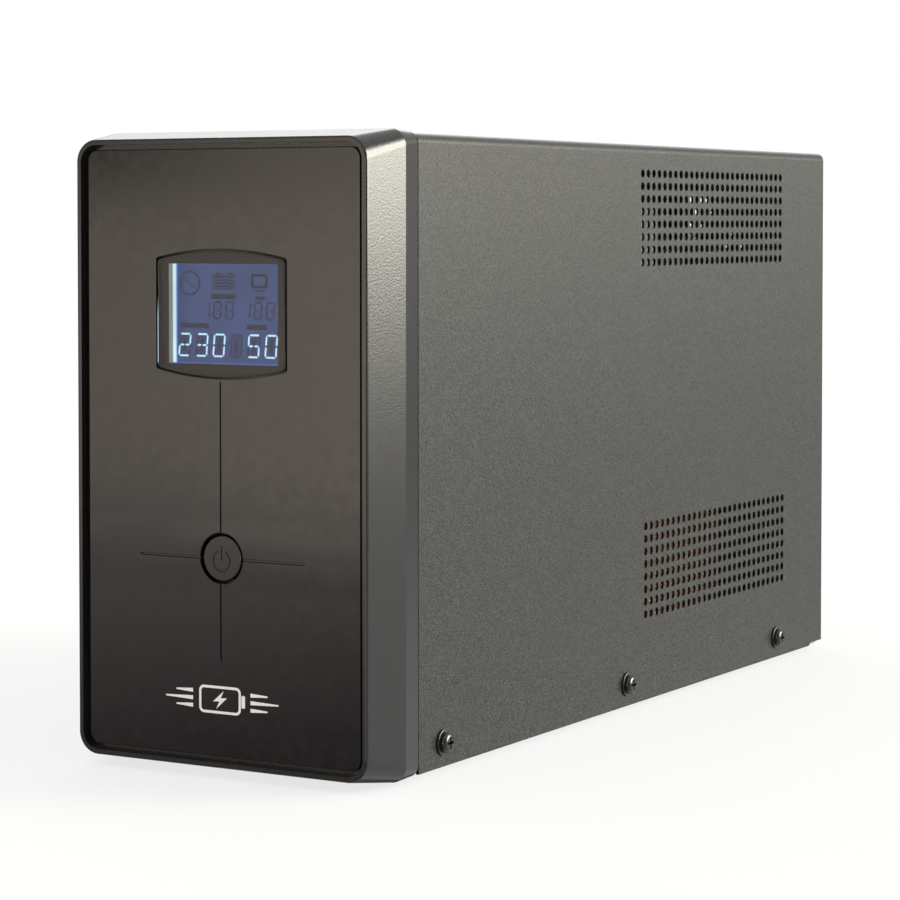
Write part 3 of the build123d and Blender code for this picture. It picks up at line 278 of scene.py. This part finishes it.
def display_glass():
    """Blue negative display: even field, bright strip at the light guide, darker band beside it."""
    look = Look("display_glass", linear(4, 6, 14), 0.3, ior=1.05)
    low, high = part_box("lcd_glass")
    across = look.spread(look.axis("X"), low.x, high.x, kind="LINEAR")
    field = linear(54, 72, 120)
    stops = (
        (0.0, linear(120, 124, 126)),
        (0.033, linear(130, 134, 136)),
        (0.037, linear(216, 250, 255)),
        (0.058, linear(210, 246, 255)),
        (0.066, linear(92, 146, 224)),
        (0.076, linear(38, 68, 122)),
        (0.13, linear(38, 62, 112)),
        (0.138, field),
        (0.96, field),
        (1.0, linear(60, 92, 160)),
    )
    glow = look.ramp(across, stops)
    off_centre = look.maths("ABSOLUTE", look.maths("SUBTRACT", look.axis("Z"), (low.z + high.z) / 2))
    edge = look.spread(off_centre, (WINDOW_H - 0.35) * MM, (WINDOW_H + 0.05) * MM)
    glow = look.mix(look.product(edge, 0.6), glow, linear(70, 112, 200))
    cloud = look.spread(look.noise(70, 2), 0.3, 0.7, 0.92, 1.06)
    look.link(glow, "Emission Color")
    look.link(cloud, "Emission Strength")
    return look.material


def glowing(name, colour, strength):
    look = Look(name, scaled(colour, 0.3), 0.4, ior=1.05)
    look.set("Emission Color", colour)
    uneven = look.spread(look.noise(400, 2), 0.2, 0.8, strength * 0.93, strength * 1.05)
    look.link(uneven, "Emission Strength")
    return look.material


def light_guide():
    look = Look("light_guide", linear(225, 230, 240), 0.35)
    look.set("Emission Color", linear(214, 224, 250))
    look.link(look.spread(look.noise(120, 2), 0.2, 0.8, 0.7, 1.0), "Emission Strength")
    look.set("Subsurface Weight", 0.2)
    return look.material


def printed_ink(name, colour, roughness=0.45):
    look = Look(name, colour, roughness)
    look.tint(look.spread(look.noise(900, 2), 0.45, 0.8), scaled(colour, 0.9))
    look.bump(look.noise(2600, 1), 0.000004)
    return look.material


def circuit_board(name, mask, track):
    """Solder mask over copper tracks: angular runs, with round pads."""
    look = Look(name, mask, 0.32)
    areas = look.grey(look.cells(150, "Color"))
    lines = look.waves(260, "DIAGONAL", 3.0)
    tracks = look.product(look.spread(lines, 0.62, 0.68), look.spread(areas, 0.45, 0.5))
    pads = look.spread(look.cells(240), 0.2, 0.17)
    look.tint(tracks, track)
    painted = look.shader.inputs["Base Color"].links[0].from_socket
    look.link(look.mix(pads, painted, (0.62, 0.6, 0.55, 1)), "Base Color")
    look.link(look.spread(pads, 0.0, 1.0, 0.0, 0.9, "LINEAR"), "Metallic")
    look.bump(look.maths("MAXIMUM", tracks, pads), 0.00003)
    return look.material


def blackened_screw():
    look = Look("screw_black", linear(14, 14, 15), 0.2, 0.1, ior=1.7)
    look.bump(look.noise(500, 2), 0.000012)
    worn = look.spread(look.noise(500, 3), 0.68, 0.8)
    look.tint(worn, linear(90, 88, 86))
    look.gloss(look.noise(300, 2), 0.12, 0.26)
    return look.material


def bright_metal(name, colour, low=0.2, high=0.4, stretch=(1, 1, 1), scale=220):
    look = Look(name, colour, (low + high) / 2, 1.0)
    drawn = look.noise(scale, 4, 0.6, look.stretched(stretch))
    look.gloss(drawn, low, high)
    look.tint(look.spread(look.noise(35, 3), 0.35, 0.75), scaled(colour, 0.78))
    look.bump(drawn, 0.000008)
    return look.material


def rubber():
    look = Look("rubber", linear(30, 30, 30), 0.7)
    look.bump(look.noise(900, 3), 0.00003)
    look.tint(look.spread(look.noise(140, 4), 0.5, 0.8), linear(58, 57, 55))
    return look.material


def lead_plates():
    """Stacked plates and separators seen on edge."""
    look = Look("lead_plates", (0.34, 0.34, 0.36, 1), 0.55, 0.5)
    plates = look.waves(55, "X")
    look.tint(look.spread(plates, 0.4, 0.6), (0.75, 0.74, 0.7, 1))
    look.bump(plates, 0.0003)
    return look.material


def laminations():
    """Varnished core: thin sheets on edge, darker joints, a little rust."""
    look = Look("laminations", (0.16, 0.155, 0.15, 1), 0.42, 0.6)
    sheets = look.waves(330, "X", 0.2)
    look.bump(sheets, 0.00008)
    rust = look.spread(look.noise(90, 5), 0.55, 0.75)
    look.tint(rust, (0.2, 0.085, 0.035, 1))
    look.gloss(look.noise(160, 3), 0.32, 0.6)
    return look.material


def copper_turns():
    """Enamelled wire, turn beside turn, with varnish pooled between."""
    look = Look("copper_turns", (0.9, 0.33, 0.08, 1), 0.3, 0.55)
    turns = look.waves(170, "Z", 0.15)
    look.bump(turns, 0.0005)
    look.tint(look.spread(turns, 0.4, 0.05), (0.34, 0.09, 0.02, 1))
    look.gloss(look.noise(200, 2), 0.22, 0.4)
    return look.material


def wound_choke():
    look = Look("wound_choke", (0.9, 0.36, 0.08, 1), 0.32, 0.5)
    turns = look.waves(420, "Y", 0.3)
    look.bump(turns, 0.0003)
    look.tint(look.spread(turns, 0.3, 0.05), (0.5, 0.44, 0.08, 1))
    return look.material


def can_capacitor():
    """Shrink sleeve with a pale stripe, and the bare can where its top is scored."""
    look = Look("can_capacitor", (0.022, 0.035, 0.09, 1), 0.3)
    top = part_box("capacitors")[1].z
    bare = look.spread(look.axis("Z"), top - 1.0 * MM, top - 0.9 * MM)
    stripe = look.spread(look.waves(9, "DIAGONAL", 0.0), 0.9, 0.93)
    look.tint(stripe, (0.55, 0.56, 0.58, 1))
    sleeve = look.shader.inputs["Base Color"].links[0].from_socket
    look.link(look.mix(bare, sleeve, (0.72, 0.73, 0.74, 1)), "Base Color")
    look.link(bare, "Metallic")
    look.bump(look.noise(400, 2), 0.00001)
    return look.material


def insulated(name, colour):
    """Soft PVC wire cover."""
    look = Look(name, colour, 0.4)
    look.bump(look.noise(500, 2), 0.00002)
    look.tint(look.spread(look.noise(60, 3), 0.4, 0.8), scaled(colour, 0.72))
    look.gloss(look.noise(90, 2), 0.32, 0.5)
    return look.material


def relay_case():
    look = Look("relay_case", (0.03, 0.1, 0.36, 1), 0.22, coat=0.3)
    look.bump(look.noise(600, 2), 0.000012)
    look.tint(look.spread(look.noise(45, 2), 0.4, 0.7), (0.045, 0.13, 0.42, 1))
    return look.material


BLACK = linear(27, 27, 28)
coat = powder_coat()
steel = zinc_steel()
button_z = (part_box("power_button")[0].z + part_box("power_button")[1].z) / 2
panel_black = gloss_moulding("panel_black", button_z + 1.0 * MM, 0.00006)
button_black = gloss_moulding("button_black", button_z, 0.00002)
black_plastic = moulded("black_plastic", BLACK, 0.36)
socket_black = moulded("socket_black", linear(22, 22, 23), 0.28, 0.00001, 1100)
white_plastic = moulded("white_plastic", linear(216, 216, 212), 0.42, mottle=-0.08)
brass = bright_metal("contact_brass", (0.78, 0.6, 0.28, 1), 0.18, 0.34, (1, 1, 8))
tin = bright_metal("tinned_tabs", (0.74, 0.72, 0.68, 1), 0.22, 0.4)
zinc_screw = bright_metal("screw_zinc", (0.62, 0.61, 0.58, 1), 0.2, 0.36)
black_screw = blackened_screw()

looks = {
    "side_cover": coat,
    "rear_panel": coat,
    "base_tray": steel,
    "front_plate": steel,
    "battery_bracket": steel,
    "board_shelf": steel,
    "transformer_frame": steel,
    "bezel_frame": bezel_plastic(),
    "front_panel": panel_black,
    "power_button": button_black,
    "display_lens": lens_clear(),
    "lcd_glass": display_glass(),
    "backlight": light_guide(),
    "display_holder": white_plastic,
    "display_board": circuit_board("display_board_mask", (0.02, 0.11, 0.04, 1), (0.06, 0.24, 0.09, 1)),
    "main_board": circuit_board("main_board_mask", (0.02, 0.1, 0.035, 1), (0.07, 0.26, 0.08, 1)),
    "switch_plunger": black_plastic,
    "tact_switch": black_plastic,
    "cover_screws": black_screw,
    "fan_screws": black_screw,
    "rear_panel_screws": black_screw,
    "bezel_screws": zinc_screw,
    "transformer_screws": zinc_screw,
    "board_standoffs": brass,
    "rubber_feet": rubber(),
    "battery_cells_lower": lead_plates(),
    "battery_terminals": tin,
    "transformer_core": laminations(),
    "transformer_bobbin": moulded("bobbin_nylon", (0.72, 0.66, 0.5, 1), 0.4),
    "transformer_winding": copper_turns(),
    "heatsink_left": bright_metal("sink_aluminium", (0.2, 0.2, 0.205, 1), 0.46, 0.62, (12, 1, 1)),
    "power_transistors": moulded("epoxy_black", (0.014, 0.014, 0.014, 1), 0.4, 0.00001, 900),
    "relays": relay_case(),
    "capacitors": can_capacitor(),
    "filter_choke": wound_choke(),
    "fan_frame": moulded("fan_plastic", linear(30, 30, 31), 0.34),
    "outlet_contacts": brass,
    "inlet_pins": brass,
    "inlet_housing": socket_black,
    "breaker_body": socket_black,
    "breaker_nut": zinc_screw,
    "breaker_button": white_plastic,
    "usb_port": bright_metal("usb_shell", (0.7, 0.69, 0.66, 1), 0.16, 0.3),
    "data_jack": socket_black,
    "battery_lead_red": insulated("wire_red", (0.5, 0.02, 0.015, 1)),
    "battery_lead_black": insulated("wire_black", (0.02, 0.02, 0.02, 1)),
    "battery_link": insulated("wire_link", (0.5, 0.02, 0.015, 1)),
    "display_lead": insulated("wire_grey", (0.4, 0.4, 0.41, 1)),
    "transformer_leads": insulated("wire_yellow", (0.72, 0.5, 0.03, 1)),
}
battery_case = moulded("battery_case", linear(92, 94, 98), 0.4, 0.00004, 900)
looks["battery_case_lower"] = looks["battery_case_upper"] = battery_case
battery_lid = moulded("battery_lid", linear(70, 72, 76), 0.42)
looks["battery_lid_lower"] = looks["battery_lid_upper"] = battery_lid
looks["battery_cells_upper"] = looks["battery_cells_lower"]
looks["battery_pads"] = rubber()
looks["heatsink_right"] = looks["heatsink_left"]
looks["fan_stator"] = looks["fan_rotor"] = looks["fan_frame"]
looks["outlet_left"] = looks["outlet_right"] = socket_black

for name, node in nodes.items():
    node.data.materials.clear()
    node.data.materials.append(looks[name])


# ---------------------------------------------------------------- pieces made here
def piece(name, bm, material, body="case"):
    """Object from bmesh, riding on a body, with the material given to it."""
    bmesh.ops.recalc_face_normals(bm, faces=bm.faces)
    mesh = bpy.data.meshes.new(name)
    bm.to_mesh(mesh)
    bm.free()
    mesh.materials.append(material)
    made = bpy.data.objects.new(name, mesh)
    bpy.context.scene.collection.objects.link(made)
    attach(made, body)
    return made


def prism(bm, outline, front_y, back_y):
    """Closed prism of an (x, z) outline in mm between two y values in mm."""
    rings = []
    for y in (front_y, back_y):
        rings.append([bm.verts.new((x * MM, y * MM, z * MM)) for x, z in outline])
    front, back = rings
    bm.faces.new(front)
    bm.faces.new(reversed(back))
    for i in range(len(front)):
        j = (i + 1) % len(front)
        bm.faces.new((front[j], front[i], back[i], back[j]))


def band(bm, outer, inner, front_y, back_y):
    """Closed ring between two (x, z) outlines of equal length."""
    loops = []
    for outline, y in ((outer, front_y), (inner, front_y), (inner, back_y), (outer, back_y)):
        loops.append([bm.verts.new((x * MM, y * MM, z * MM)) for x, z in outline])
    for first, second in zip(loops, loops[1:] + loops[:1]):
        for i in range(len(first)):
            j = (i + 1) % len(first)
            bm.faces.new((first[i], first[j], second[j], second[i]))


def rounded_rectangle(centre, width, height, radius, steps=6):
    points = []
    for quadrant, (sx, sz) in enumerate(((1, 1), (-1, 1), (-1, -1), (1, -1))):
        corner = (centre[0] + sx * (width / 2 - radius), centre[1] + sz * (height / 2 - radius))
        for i in range(steps + 1):
            angle = radians(90 * quadrant + 90 * i / steps)
            points.append((corner[0] + radius * cos(angle), corner[1] + radius * sin(angle)))
    return points


# Display: starburst characters, small unlit figures and symbols. Sizes are in mm, x from the panel's middle
GLASS_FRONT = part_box("lcd_glass")[0].y / MM
LENS_LOW, LENS_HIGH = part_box("display_lens")
LENS_Z = (LENS_LOW.z + LENS_HIGH.z) / 2 / MM
LIT_Y = (GLASS_FRONT - 0.06, GLASS_FRONT - 0.01)
UNLIT_Y = (GLASS_FRONT - 0.04, GLASS_FRONT - 0.01)
CHAR_W, CHAR_H, STROKE, SLANT = 5.0, 8.2, 0.66, 0.09
CHAR_X0, CHAR_PITCH, CHAR_Z = -21.6, 7.2, LENS_Z - 15.1
SHOWN = "230 50"

# Ends of each starburst segment, as shares of the character's width and height
SEGMENTS = {
    "a": ((0, 1), (1, 1)),
    "b": ((1, 1), (1, 0.5)),
    "c": ((1, 0.5), (1, 0)),
    "d": ((0, 0), (1, 0)),
    "e": ((0, 0.5), (0, 0)),
    "f": ((0, 1), (0, 0.5)),
    "g": ((0, 0.5), (0.5, 0.5)),
    "h": ((0.5, 0.5), (1, 0.5)),
    "i": ((0, 1), (0.5, 0.5)),
    "j": ((0.5, 1), (0.5, 0.5)),
    "k": ((1, 1), (0.5, 0.5)),
    "l": ((0, 0), (0.5, 0.5)),
    "m": ((0.5, 0.5), (0.5, 0)),
    "n": ((1, 0), (0.5, 0.5)),
}
DIAGONALS = "iknl"
LIT = {"2": "abghed", "3": "abhgcd", "0": "abcdef", "5": "afghcd", "8": "abcdefgh", "1": "bc", " ": ""}


def segment(bm, start, end, stroke, front_y, back_y):
    """Bar with pointed ends, a little short of both ends so that neighbours stay apart."""
    along = Vector((end[0] - start[0], end[1] - start[1]))
    unit = along.normalized()
    side = Vector((-unit.y, unit.x)) * stroke / 2
    gap = unit * stroke * 0.26
    tip = unit * stroke * 0.62
    first, last = Vector(start) + gap, Vector(end) - gap
    points = (first, first + tip - side, last - tip - side, last, last - tip + side, first + tip + side)
    prism(bm, [(p.x, p.y) for p in points], front_y, back_y)


def character(lit_bm, off_bm, symbol, x, z, width, height, stroke, names=SEGMENTS):
    """Character with its lower left corner at x, z: lit segments in one mesh, unlit ones in the other."""
    inset = stroke / 2
    for name in names:
        ends = []
        for across, up in SEGMENTS[name]:
            px = x + inset + across * (width - stroke)
            pz = z + inset + up * (height - stroke)
            if name in DIAGONALS:
                px += (0.5 - across) * stroke * 1.5
                pz += (0.5 - up) * stroke * 1.5
            ends.append((px + SLANT * (pz - z), pz))
        thin = stroke * (0.7 if name in DIAGONALS else 1.0)
        if name in LIT[symbol]:
            segment(lit_bm, *ends, thin, *LIT_Y)
        elif off_bm is not None:
            segment(off_bm, *ends, thin, *UNLIT_Y)


lit, off = bmesh.new(), bmesh.new()
for index, symbol in enumerate(SHOWN):
    character(lit, off, symbol, CHAR_X0 + index * CHAR_PITCH, CHAR_Z, CHAR_W, CHAR_H, STROKE)

GHOST_Z, GHOST_W, GHOST_H, GHOST_STROKE = LENS_Z - 2.0, 3.7, 6.4, 0.72
for symbol, x in (("1", -12.0), ("8", -7.2), ("8", -2.1), ("1", 5.0), ("8", 9.7), ("8", 14.8)):
    character(off, None, symbol, x, GHOST_Z, GHOST_W, GHOST_H, GHOST_STROKE, "abcdefgh")


def ghost(outline):
    """Unlit mark on the glass."""
    prism(off, outline, *UNLIT_Y)


def ghost_ring(outer, inner):
    band(off, outer, inner, *UNLIT_Y)


def bar(x0, x1, z0, z1):
    ghost(((x0, z0), (x1, z0), (x1, z1), (x0, z1)))


# Battery symbol: outline, stacked charge bars and two terminals, over a label bar
BATTERY_Z0, BATTERY_Z1 = LENS_Z + 8.4, LENS_Z + 13.6
ghost_ring(
    rounded_rectangle((-2.4, (BATTERY_Z0 + BATTERY_Z1) / 2), 9.6, BATTERY_Z1 - BATTERY_Z0, 0.6),
    rounded_rectangle((-2.4, (BATTERY_Z0 + BATTERY_Z1) / 2), 8.8, BATTERY_Z1 - BATTERY_Z0 - 0.8, 0.3),
)
for x in (-5.4, -0.6):
    bar(x, x + 1.4, BATTERY_Z1 + 0.1, BATTERY_Z1 + 0.9)
for i in range(4):
    bar(-6.4, 1.6, BATTERY_Z0 + 0.7 + 1.05 * i, BATTERY_Z0 + 1.4 + 1.05 * i)
bar(-7.6, 2.8, LENS_Z + 5.0, LENS_Z + 6.8)

# Load symbol: a monitor on its stand, over a label bar
ghost_ring(
    rounded_rectangle((12.4, LENS_Z + 11.4), 7.0, 5.0, 0.9),
    rounded_rectangle((12.4, LENS_Z + 11.4), 4.8, 3.0, 0.5),
)
bar(10.2, 14.8, LENS_Z + 7.7, LENS_Z + 8.3)
bar(10.6, 15.0, LENS_Z + 5.0, LENS_Z + 6.2)

# Supply symbol: a ring with a wave in it
RING = (-16.6, LENS_Z + 10.4)
circle = [(cos(2 * pi * i / 40), sin(2 * pi * i / 40)) for i in range(40)]
ghost_ring(
    [(RING[0] + 4.4 * x, RING[1] + 4.4 * z) for x, z in circle],
    [(RING[0] + 3.7 * x, RING[1] + 3.7 * z) for x, z in circle],
)
wave_top = [(RING[0] - 2.4 + 0.3 * i, RING[1] + 1.1 * sin(2 * pi * i / 16) + 0.3) for i in range(17)]
wave_low = [(x, z - 0.6) for x, z in reversed(wave_top)]
ghost(wave_top + wave_low)
bar(-20.4, -8.6, LENS_Z - 5.2, LENS_Z - 3.4)
bar(7.2, 15.6, LENS_Z - 5.4, LENS_Z - 3.6)

piece("display_segments_lit", lit, glowing("segment_lit", linear(184, 226, 252), 1.0))
piece("display_segments_off", off, glowing("segment_off", linear(24, 33, 56), 1.0))


# Printed mask on the back of the lens, with the clear window in it
LENS_RISE, LENS_R = 3.1, 1.2


def lens_outline(inset, steps=24):
    """Barrel outline of the lens, in mm: top and bottom rise in the middle, and the corners are rounded."""
    half_w = (LENS_HIGH.x - LENS_LOW.x) / 2 / MM - inset
    mid = (LENS_HIGH.z - LENS_LOW.z) / 2 / MM - inset
    end = mid - LENS_RISE
    arc_r = (half_w**2 + LENS_RISE**2) / (2 * LENS_RISE)
    points = []
    for sign in (1, -1):
        for i in range(steps + 1):
            x = sign * (half_w - LENS_R) * (1 - 2 * i / steps)
            points.append((x, LENS_Z + sign * (mid - arc_r + sqrt(arc_r**2 - x**2))))
        corner_x, corner_z = -sign * (half_w - LENS_R), LENS_Z + sign * (end - 1.0)
        for i in range(1, 6):
            angle = radians(90 * i / 6 - 8)
            points.append((corner_x - sign * LENS_R * sin(angle), corner_z + sign * LENS_R * cos(angle)))
    return points


def onto_window(point, half_w, half_h):
    """The point moved towards the window's centre, onto the window's edge."""
    x, z = point[0], point[1] - LENS_Z
    share = min(half_w / max(abs(x), 1e-9), half_h / max(abs(z), 1e-9))
    return (x * share, LENS_Z + z * share)


outer = lens_outline(0.12)
corners = [(sx * WINDOW_W, LENS_Z + sz * WINDOW_H) for sx in (-1, 1) for sz in (-1, 1)]
inner = [onto_window(p, WINDOW_W, WINDOW_H) for p in outer]
for corner in corners:
    nearest = min(range(len(inner)), key=lambda i: dist(inner[i], corner))
    inner[nearest] = corner
mask = bmesh.new()
LENS_BACK = LENS_HIGH.y / MM
band(mask, outer, inner, LENS_BACK - 0.06, LENS_BACK - 0.01)
piece("lens_mask", mask, printed_ink("mask_ink", linear(22, 17, 13), 0.6))

# Black edge of the lens, as deep as the lens, so that no light shows through its sides
rim = bmesh.new()
band(rim, lens_outline(0.05), lens_outline(0.4), LENS_LOW.y / MM + 0.3, LENS_BACK - 0.08)
piece("lens_rim", rim, printed_ink("rim_ink", linear(6, 6, 6), 0.7))

# Generic printed mark: a battery with a bolt, between tapered bars, in mm
PANEL_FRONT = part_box("front_panel")[0].y / MM
MARK_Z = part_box("front_panel")[0].z / MM + 19.7
mark = bmesh.new()
print_y = (PANEL_FRONT - 0.03, PANEL_FRONT + 0.01)
band(
    mark,
    rounded_rectangle((-0.7, MARK_Z), 17.4, 9.6, 2.0),
    rounded_rectangle((-0.7, MARK_Z), 15.6, 7.8, 1.2),
    *print_y,
)
prism(mark, rounded_rectangle((9.0, MARK_Z), 1.5, 4.4, 0.5), *print_y)
bolt = ((0.9, 3.2), (-3.6, -0.7), (-0.9, -0.5), (-2.3, -3.2), (2.2, 0.8), (-0.4, 0.6))
prism(mark, [(x, MARK_Z + z) for x, z in bolt], *print_y)
for side in (-1, 1):
    for lift, far in ((2.6, 19.0), (0.0, 23.5), (-2.6, 19.0)):
        near_x, far_x, z = side * 12.0, side * far, MARK_Z + lift
        tapered = ((near_x, z + 0.7), (far_x, z + 0.25), (far_x, z - 0.25), (near_x, z - 0.7))
        prism(mark, tapered, *print_y)
piece("front_mark", mark, printed_ink("mark_ink", linear(236, 236, 234)))


# ---------------------------------------------------------------- studio
BACKDROP = linear(255, 255, 255)
FLOOR_RADIUS = 14.0
# Directions of the lights, and of the darker part of the room straight behind
KEY, SKIRT, SWEEP, FAR_SIDE = (0.82, 0.53, 0.2), (0.75, 0.63, 0.2), (-0.565, 0.80, 0.2), (0.1, 0.99, 0.1)
# Strength of the front card, of the table below it and of the key, in red, green and blue
TONES = {"X": (2.92, 1.0, 1.03), "Y": (2.55, 0.92, 1.0), "Z": (2.17, 0.89, 0.86)}


def studio_floor():
    look = Look("floor", linear(236, 236, 235), 0.8, ior=1.2)
    look.bump(look.noise(300, 3), 0.00002)
    look.tint(look.noise(3, 2), linear(239, 239, 238))
    distance = look.node("ShaderNodeVectorMath", {0: look.stretched((1, 1, 0))}, operation="LENGTH")
    far = look.spread(distance.outputs["Value"], 0.1, 0.9, 0.75, 1.0)
    glow = look.node("ShaderNodeEmission", {"Color": BACKDROP, "Strength": 1.0})
    blend = look.node("ShaderNodeMixShader", {0: far, 1: look.shader.outputs[0], 2: glow.outputs[0]})
    look.tree.links.new(blend.outputs[0], look.out.inputs["Surface"])
    floor = bmesh.new()
    bmesh.ops.create_circle(floor, cap_ends=True, segments=96, radius=FLOOR_RADIUS)
    mesh = bpy.data.meshes.new("floor")
    floor.to_mesh(mesh)
    floor.free()
    mesh.materials.append(look.material)
    made = bpy.data.objects.new("floor", mesh)
    bpy.context.scene.collection.objects.link(made)
    made.location.z = cad_box[0].z
    made.visible_glossy = False


def studio_world():
    """The studio as light by direction: a warm card low in front, white sweeps behind and above, a
    round key at the rear right. The camera itself sees only the white backdrop."""
    world = bpy.data.worlds.new("studio")
    bpy.context.scene.world = world
    world.use_nodes = True
    sky = Graph(world.node_tree, "Generated")
    x, y, z = (sky.axis(name) for name in "XYZ")
    ahead = sky.spread(y, -0.2, -0.6)

    def towards(direction, near, far):
        """1 round a direction and 0 away from it; near and far are cosines of the angle off it."""
        inputs = {0: sky.place, 1: Vector(direction).normalized()}
        dot = sky.node("ShaderNodeVectorMath", inputs, operation="DOT_PRODUCT")
        return sky.spread(dot.outputs["Value"], far, near)

    # Room: dim in front and low behind, pale above, with a dark line between the table and the wall
    far_side = towards(FAR_SIDE, 0.985, 0.93)
    room = sky.maths("MAXIMUM", sky.spread(y, -0.45, 0.25, 0.3, 0.9), sky.spread(z, 0.35, 0.75))
    room = sky.product(room, sky.spread(z, -0.085, -0.01, 0.55, 1.0))
    room = sky.maths("ADD", room, sky.spread(z, -0.1, -0.15, 0.0, 0.35))
    low_behind = sky.product(sky.spread(y, 0.3, 0.7), sky.spread(x, 0.1, -0.2), sky.spread(z, 0.3, 0.12))
    for dark, left in ((low_behind, 0.15), (far_side, 0.45)):
        room = sky.product(room, sky.spread(dark, 0.0, 1.0, 1.0, left))

    # Front card: warm, with a soft lower edge that starts higher on the left
    high_edge = sky.spread(x, -0.6, -0.53, -0.078, -0.096)
    low_edge = sky.spread(x, -0.6, -0.53, -0.116, -0.124)
    over_table = sky.spread(z, low_edge, high_edge)
    corner = sky.spread(z, -0.002, 0.022, 1.0, sky.spread(x, -0.62, -0.54, 0.3, 0.8))
    fading = sky.spread(z, 0.0, 0.16, 1.0, 0.4)
    card = sky.product(over_table, sky.spread(x, -0.95, -0.4), fading, corner)
    nearer = sky.spread(z, -0.12, -0.185, 1.08, 0.3, "LINEAR")
    table = sky.product(sky.maths("SUBTRACT", 1.0, over_table), nearer)
    in_front = sky.product(ahead, sky.spread(x, 0.6, 0.2))
    elsewhere = sky.maths("SUBTRACT", 1.0, in_front)

    # Key at the rear right, standing on the horizon, with a dimmer skirt; sweep behind on the left
    upright = sky.spread(z, -0.035, 0.02)
    key = sky.product(towards(KEY, 0.968, 0.94), 12.5)
    skirt = sky.product(towards(SKIRT, 0.95, 0.895), 3.9)
    key = sky.product(sky.maths("ADD", key, skirt), upright)
    sweep = sky.product(towards(SWEEP, 0.97, 0.84), sky.spread(z, 0.08, 0.3, 0.0, 1.6))
    plain = sky.maths("ADD", sky.product(room, elsewhere), sweep)

    total = sky.node("ShaderNodeCombineXYZ")
    for name, (card_tone, table_tone, key_tone) in TONES.items():
        front = sky.maths("ADD", sky.product(card, card_tone), sky.product(table, table_tone))
        channel = sky.maths("ADD", plain, sky.product(front, in_front))
        channel = sky.maths("ADD", channel, sky.product(key, key_tone))
        sky.tree.links.new(channel, total.inputs[name])
    lighting = sky.node("ShaderNodeBackground", {"Color": total.outputs[0]})
    backdrop = sky.node("ShaderNodeBackground", {"Color": BACKDROP})
    path = sky.node("ShaderNodeLightPath")
    inputs = {0: path.outputs["Is Camera Ray"], 1: lighting.outputs[0], 2: backdrop.outputs[0]}
    choose = sky.node("ShaderNodeMixShader", inputs)
    sky.node("ShaderNodeOutputWorld", {"Surface": choose.outputs[0]})


def studio_camera():
    """The photograph's viewing angle: low, from the front right, with a long lens shifted down."""
    data = bpy.data.cameras.new("camera")
    data.sensor_width = 36.0
    data.lens = 113.73
    data.shift_y = -0.139
    camera = bpy.data.objects.new("camera", data)
    yaw, pitch = 0.5246, 0.0369
    forward = Vector((-sin(yaw) * cos(pitch), cos(yaw) * cos(pitch), -sin(pitch)))
    camera.location = (0.55653, -0.99764, 0.19284)
    camera.rotation_euler = forward.to_track_quat("-Z", "Y").to_euler()
    bpy.context.scene.collection.objects.link(camera)
    bpy.context.scene.camera = camera


studio_floor()
studio_world()
studio_camera()
bpy.context.scene.view_settings.view_transform = "Standard"
